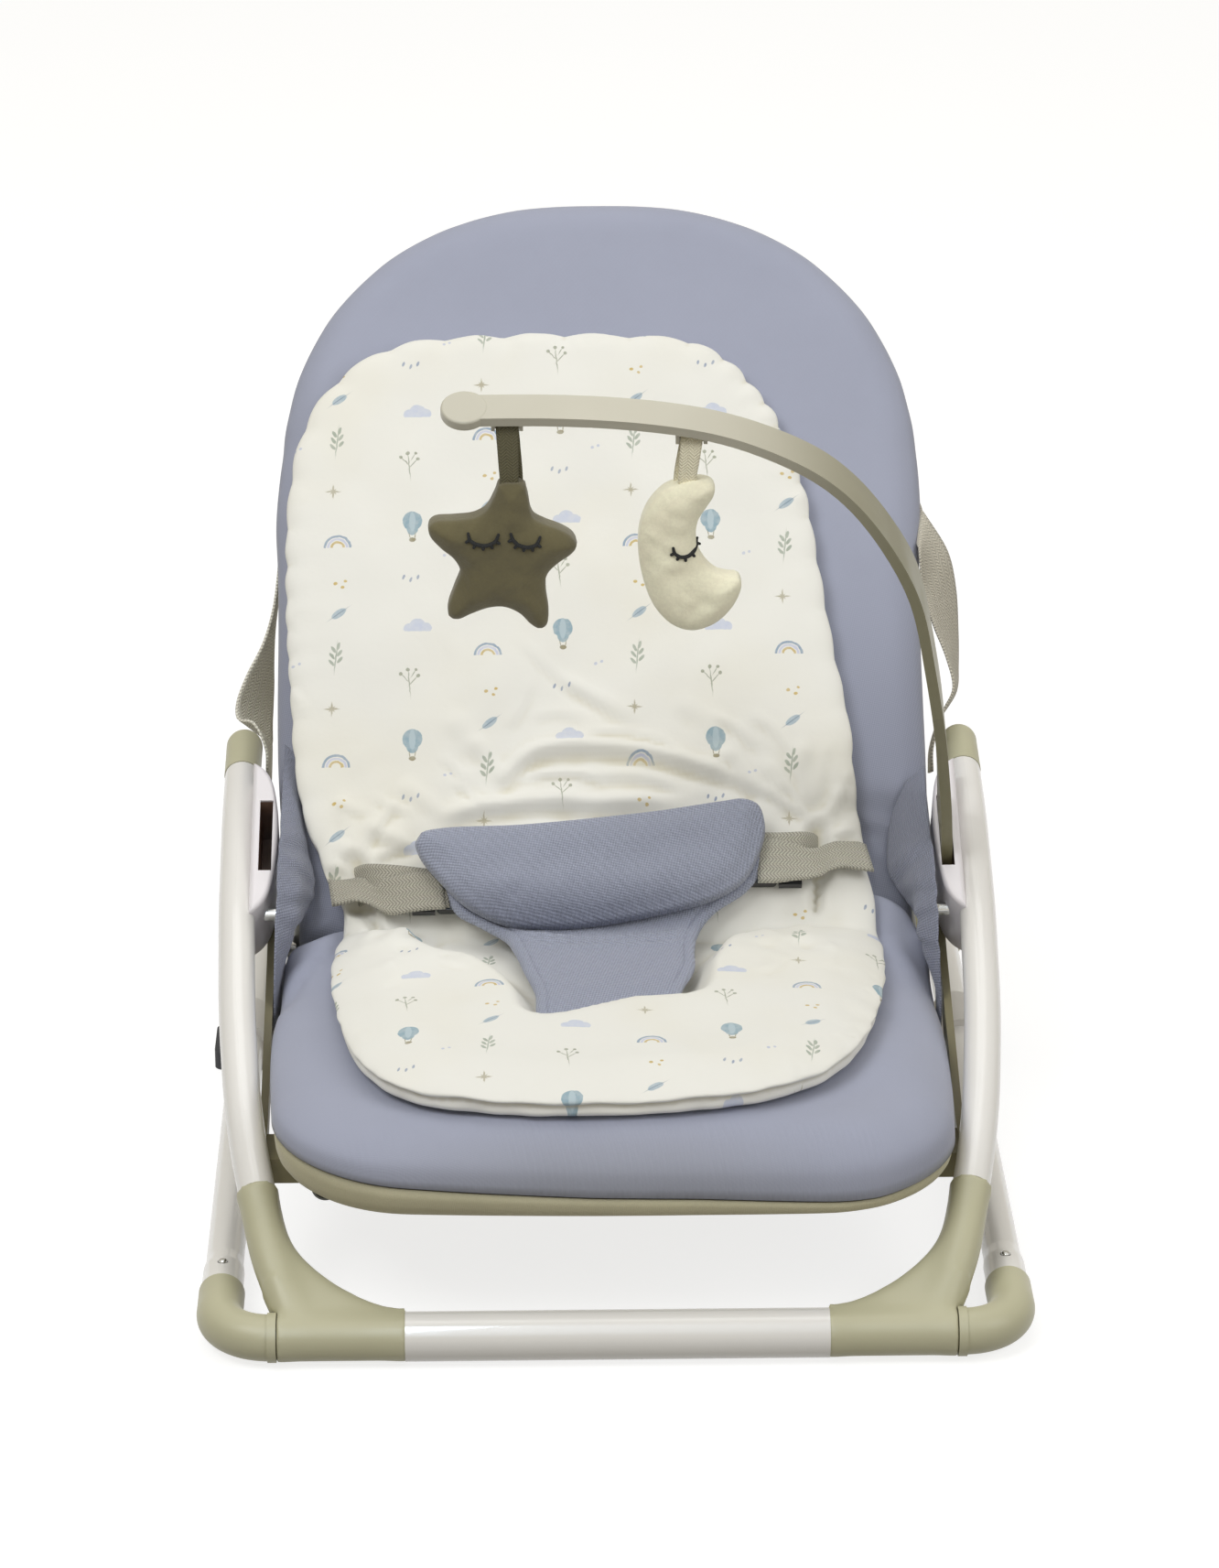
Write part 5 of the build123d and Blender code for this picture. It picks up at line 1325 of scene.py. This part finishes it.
def mesh_shape(t, s, sd):
    s0 = s / s.max()
    q = t if sd < 0 else 1 - t                       # 0 at the inner edge, 1 beside the hub
    puff = 3.2 * np.sin(np.pi * np.clip(t, 0, 1)) * soft(s0, 0.12, 0.35) * (1 - soft(s0, 0.75, 1.0))
    puff = puff + (7.0 if sd > 0 else 4.0) * np.exp(-((s0 - 0.36) / 0.15) ** 2) * np.exp(-((q - 0.62) / 0.26) ** 2)
    for at, slope, w, a in ((0.33, 0.05, 0.020, 1.3), (0.41, -0.03, 0.018, 1.5), (0.50, 0.03, 0.022, 1.2), (0.60, -0.06, 0.03, 1.4)):
        u = s0 - at - slope * (t - 0.5)
        puff = puff - a * np.exp(-(u / w) ** 2) * np.sin(np.pi * np.clip(t, 0.02, 0.98)) ** 0.5 + 0.5 * a * np.exp(-((u - 1.7 * w) / w) ** 2)
    return puff


for sd, tag in ((-1, "left"), (1, "right")):
    inner = [(sd * x, y, z) for x, y, z in MESH_IN[sd]]
    outer = [(sd * (x - (0.9 if sd > 0 else 0)), y, z) for x, y, z in MESH_OUT]
    A, B = (inner, outer) if sd < 0 else (outer, inner)
    A, B = A[:len(A) - (sd > 0)], B[:len(B) - (sd > 0)]
    g = ribbon("side_mesh_" + tag, A, B, 1.0, M["mesh"], None, across=18, step=2.0, shape=lambda t, q, sd=sd: mesh_shape(t, q, sd))
    scene((0, 262, 128))
    scene((0, 330, 190))
    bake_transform(g)

# ------------------------------------------------------------------ carry straps
LC = [((-183.6, 565, 335), (-183.6, 541, 309)), ((-193, 556, 332), (-193, 534, 303.5)), ((-202, 536, 324), (-202.5, 528, 289)),
      ((-204.3, 520, 315.3), (-205.6, 524.1, 279.6)), ((-206.1, 512, 293.3), (-209.1, 512, 257.5)), ((-209.6, 502, 272), (-210.4, 508.1, 236.5)),
      ((-215.9, 492, 253.8), (-210.6, 504.9, 220.7)), ((-226.3, 482, 235.7), (-211.1, 499.6, 208.2)), ((-232.7, 474, 220), (-211.6, 492.2, 197.1)),
      ((-231.3, 464, 213), (-211.5, 486, 188)), ((-222, 455, 214.5), (-211.5, 480, 188)), ((-213.5, 444, 201), (-211.8, 474, 178)),
      ((-212.6, 434, 189), (-212, 466, 170))]
RC = [((183.6, 541, 309), (183.6, 565, 335)), ((193, 522, 311), (193, 549, 332)), ((200.5, 500, 316), (203.0, 530, 336)),
      ((201.9, 480, 318), (207.5, 512, 331)), ((204.2, 476, 293.9), (222.2, 503.8, 308)), ((207.1, 472, 283.6), (227.4, 501.7, 284.6)),
      ((212.3, 466, 269.7), (229.0, 496, 258.6)), ((219.1, 458, 254.1), (229.0, 488.4, 237.7)), ((223.4, 451, 236), (227.7, 482.7, 221.0)),
      ((216.6, 446, 221), (217.0, 475, 205.1)), ((209.6, 436, 201), (210.6, 467, 187)), ((209.2, 428, 188), (209.8, 460, 174))]


def carry(name, rows, node, mat="carry"):
    o = ribbon(name, [a for a, _ in rows], [b for _, b in rows], 1.4, M[mat], None, across=12, step=3.0, edge=0.1)
    scene((np.array(rows[2][0]) + rows[2][1]) / 2)
    scene((np.array(rows[-2][0]) + rows[-2][1]) / 2)
    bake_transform(o)
    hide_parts(node)


# the left carry strap takes the lighter copy: painted light
carry("carry_strap_left_web", LC, "carry_strap_left", "carry_left_lit")
carry("carry_strap_right_web", RC, "carry_strap_right")

# ------------------------------------------------------------------ hanging toys


def centre_y(node):
    lo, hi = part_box(node)
    return ((lo.y + hi.y) / 2 - BAR_Y) * 1000


STAR_Y, MOON_Y = centre_y("star_toy"), centre_y("moon_toy")
STAR = [(-56.8, 473.6), (-50, 473), (-47.6, 466), (-44.5, 453), (-38.3, 449), (-28.5, 445.0), (-22.0, 440.6), (-19.6, 435.0), (-22.6, 430.6), (-30.9, 424.4),
        (-36.6, 418.0), (-37.5, 409.4), (-36.0, 396.2), (-36.9, 387.8), (-41.0, 385.2), (-46.0, 387.8), (-53.0, 394.9), (-61.7, 398.7), (-70.3, 398.2),
        (-80.2, 394.6), (-87.7, 391.4), (-92.8, 392.8), (-93.8, 397.9), (-90.1, 409.4), (-86.5, 420.5), (-90.0, 427.9), (-97.4, 434.4), (-103.6, 442.0),
        (-104.2, 447.4), (-100.6, 450.6), (-89.9, 451.5), (-78.0, 453.0), (-71.5, 457.0), (-66.6, 466.0), (-63.6, 472.8)]
MOON = [(38.2, 470.3), (47.5, 472.6), (55.6, 471.4), (58.8, 468.2), (58.2, 463.0), (53.6, 455.4), (49.6, 448.6), (48.3, 441.0), (49.4, 431.5), (54.0, 422.4), (60.4, 416.6),
        (66.8, 414.9), (72.6, 414.0), (74.6, 409.8), (72.9, 402.4), (67.2, 393.0), (58.2, 385.3), (46.3, 381.8), (35.1, 385.3), (25.0, 395.8), (18.7, 410.3), (15.6, 426.0),
        (15.5, 441.7), (19.5, 454.7), (26.8, 464.6), (32.8, 468.8)]


def toy(name, P, yc, T, R, mat, body, node, seed, power=2.0):
    line = ccw(spline(P, 1.6))

    def h(x, z, d):
        Q = np.stack([x, z], -1)
        return T * dome(d, R, power) + 0.35 * waves(Q, 15, seed) * soft(d, 1.5, 8) + 0.12 * waves(Q, 4.5, seed + 1) * soft(d, 0.6, 4)

    o = pillow(name, line, lambda x, z, q: np.stack([x, yc - q, z], -1), h, lambda x, z, d: -h(x, z, d), mat, body, 1.7,
               (0.2, 0.55, 1.1, 1.9, 3.0, 4.4, 6.0), lip=0.9, lip_at=1.6)
    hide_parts(node)

    def front(x, z, lift=0.0):
        Q = np.array([[x, z]], float)
        d, _ = to_outline(Q, line)
        return (x, yc - float(h(Q[:, 0], Q[:, 1], d)[0]) - lift, z)
    return front


star_at = toy("star_plush_toy", STAR, STAR_Y, 14.5, 17, M["star"], "star", "star_toy", 71, 2.3)
moon_at = toy("moon_plush_toy", MOON, MOON_Y, 12.5, 15, M["moon"], "moon", "moon_toy", 81, 2.5)


def lashes(name, arc, hairs, at, body):
    arc = np.array(arc, float)
    high = arc[:, 1].max()
    arc[:, 1] = high - 0.80 * (high - arc[:, 1])
    hairs = [tuple((p[0], high - 0.80 * (high - p[1])) for p in q) for q in hairs]
    arc = spline(arc, 0.8, False)
    tube(name, [at(x, z, 0.45) for x, z in arc], 1.2, M["thread"], body, 8, 0.6, True)
    for i, (a, b) in enumerate(hairs):
        n = 5
        pts = [at(a[0] + (b[0] - a[0]) * k / (n - 1), a[1] + (b[1] - a[1]) * k / (n - 1), 0.35) for k in range(n)]
        tube(f"{name}_lash_{i + 1}", pts, 0.95, M["thread"], body, 8, 0.6, True)


lashes("star_eye_left", [(-81.6, 446.0), (-80.4, 441.0), (-76.0, 437.9), (-70.5, 437.7), (-66.2, 440.4), (-64.2, 446.0)],
       [((-80.6, 441.6), (-82.9, 439.4)), ((-77.2, 438.6), (-78.6, 435.4)), ((-73.0, 437.6), (-73.0, 434.2)), ((-69.0, 438.3), (-67.6, 435.3)), ((-66.0, 440.6), (-63.6, 438.6))],
       star_at, "star")
lashes("star_eye_right", [(-57.4, 446.2), (-56.0, 441.2), (-52.2, 437.2), (-47.0, 435.8), (-42.6, 437.8), (-40.6, 442.8)],
       [((-56.2, 441.6), (-58.7, 440.1)), ((-53.4, 438.0), (-55.4, 435.3)), ((-49.6, 436.1), (-50.2, 432.8)), ((-45.7, 436.1), (-44.7, 432.9)), ((-42.6, 437.9), (-40.3, 435.7))],
       star_at, "star")
lashes("moon_eye", [(34.9, 434.4), (35.9, 429.8), (39.6, 427.1), (44.2, 427.7), (47.6, 431.0), (49.2, 436.6)],
       [((35.8, 430.0), (33.5, 428.4)), ((38.4, 427.7), (37.2, 424.8)), ((42.0, 427.0), (42.2, 423.8)), ((45.6, 428.6), (47.4, 426.0)), ((48.2, 432.6), (50.9, 431.5))],
       moon_at, "moon")

# the toys' hanging straps, each a loop over its hook
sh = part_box("toy_hooks")


def loop(name, xt, wt, xb, wb, yc, z_top, z_bot, shift, mat, body, node):
    """A strap that comes up from the toy, over the hook and down behind."""
    rows = []
    for k, (z, dy) in enumerate([(z_bot - 7, -3.4), (z_bot, -4.4), (z_bot + (z_top - z_bot) * 0.35, -4.8), (z_bot + (z_top - z_bot) * 0.7, -4.6), (z_top - 2.2, -3.6), (z_top + 0.6, -2.6),
                                 (z_top + 1.9, -0.9), (z_top + 1.9, 0.9), (z_top + 0.6, 2.6), (z_top - 2.2, 3.4), (z_bot + (z_top - z_bot) * 0.6, 3.9), (z_bot + 3, 3.6), (z_bot - 7, 2.6)]):
        f = np.clip((z - z_bot) / (z_top - z_bot), 0, 1)
        c = xb + (xt - xb) * f + (shift * (1 - f) if dy > 0 else 0)
        w = wb + (wt - wb) * f
        rows.append(((c - w / 2, yc + dy, z), (c + w / 2, yc + dy, z)))
    o = ribbon(name, [a for a, _ in rows], [b for _, b in rows], 1.1, mat, body, across=6, step=1.4, edge=0.05)
    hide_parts(node)
    return o


loop("star_hanging_loop", -59.0, 13.0, -58.0, 10.6, STAR_Y, 505.458, 473.5, 2.6, M["starweb"], "star", "star_strap")
loop("moon_hanging_loop", 45.5, 12.6, 42.8, 10.2, MOON_Y, 495.454, 471.5, -2.4, M["moonweb"], "moon", "moon_strap")

# ------------------------------------------------------------------ corner fittings: sleeve, gusset and branch run into each other


def remeshed(node, voxel):
    o = bpy.data.objects.new("tmp", nodes[node].data.copy())
    bpy.context.scene.collection.objects.link(o)
    r = o.modifiers.new("r", "REMESH")
    r.mode = "VOXEL"
    r.voxel_size = voxel
    bpy.context.view_layer.update()
    me = bpy.data.meshes.new_from_object(o.evaluated_get(bpy.context.evaluated_depsgraph_get()))
    bpy.data.objects.remove(o)
    return me


def relax(me, weight, times):
    n = len(me.vertices)
    co = np.zeros(n * 3)
    me.vertices.foreach_get("co", co)
    co = co.reshape(-1, 3)
    e = np.zeros(len(me.edges) * 2, int)
    me.edges.foreach_get("vertices", e)
    e = e.reshape(-1, 2)
    deg = np.bincount(e.ravel(), minlength=n)[:, None]
    w = weight(co)[:, None]
    for _ in range(times):
        s = np.zeros_like(co)
        for k in range(3):
            s[:, k] = np.bincount(e[:, 0], co[e[:, 1], k], n) + np.bincount(e[:, 1], co[e[:, 0], k], n)
        co += 0.6 * w * (s / deg - co)
    me.vertices.foreach_set("co", co.ravel())
    me.update()


C0 = scene(np.array([207.5, 80.2, 68.3]))
D0 = unit(np.array([8.5, 37.4, 22.2]))
for side_name, sg in (("left", -1), ("right", 1)):
    me = remeshed(f"corner_fitting_{side_name}", 0.0015)

    def weight(co, sg=sg):
        c = co * np.array([sg, 1, 1])
        a = np.clip((c[:, 0] - 0.1212) / 0.012, 0, 1) * np.clip((0.194 - c[:, 0] + 1.0 * np.maximum(c[:, 1] - BAR_Y - 0.02, 0) * 20) / 0.01, 0, 1)
        b = np.clip(-((c - C0) @ D0) / 0.012, 0, 1)
        hidden = np.linalg.norm(np.stack([c[:, 1] - BAR_Y, c[:, 2] - 0.0155], -1), axis=1) < 0.0125
        return a * b * ~hidden
    relax(me, weight, 55)
    me.materials.clear()
    me.materials.append(M["sage"])
    me.polygons.foreach_set("use_smooth", [True] * len(me.polygons))
    o = bpy.data.objects.new(f"corner_fitting_{side_name}_moulded", me)
    sc.collection.objects.link(o)
    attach(o, "cradle")
    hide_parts(f"corner_fitting_{side_name}")

# ------------------------------------------------------------------ floor
bm = bmesh.new()
N = 24
for i in range(N + 1):
    for j in range(N + 1):
        bm.verts.new((-12 + 24 * i / N, -6 + 30 * j / N, 0))
bm.verts.ensure_lookup_table()
for i in range(N):
    for j in range(N):
        bm.faces.new([bm.verts[a * (N + 1) + b] for a, b in ((i, j), (i + 1, j), (i + 1, j + 1), (i, j + 1))])
fl = bpy.data.meshes.new("floor")
bm.to_mesh(fl)
bm.free()
floor = bpy.data.objects.new("floor", fl)
sc.collection.objects.link(floor)
fm = Mat("floor")
fl.materials.append(fm.done(fm.mix(fm.noise(3, 2), (0.36, 0.36, 0.36), (0.37, 0.37, 0.368)), 0.9, Emission_Color=(1, 1, 1, 1), Emission_Strength=0.76))
floor.visible_diffuse = False
floor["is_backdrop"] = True

{"cad": CAD_BOX, "visual": plain(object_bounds())}
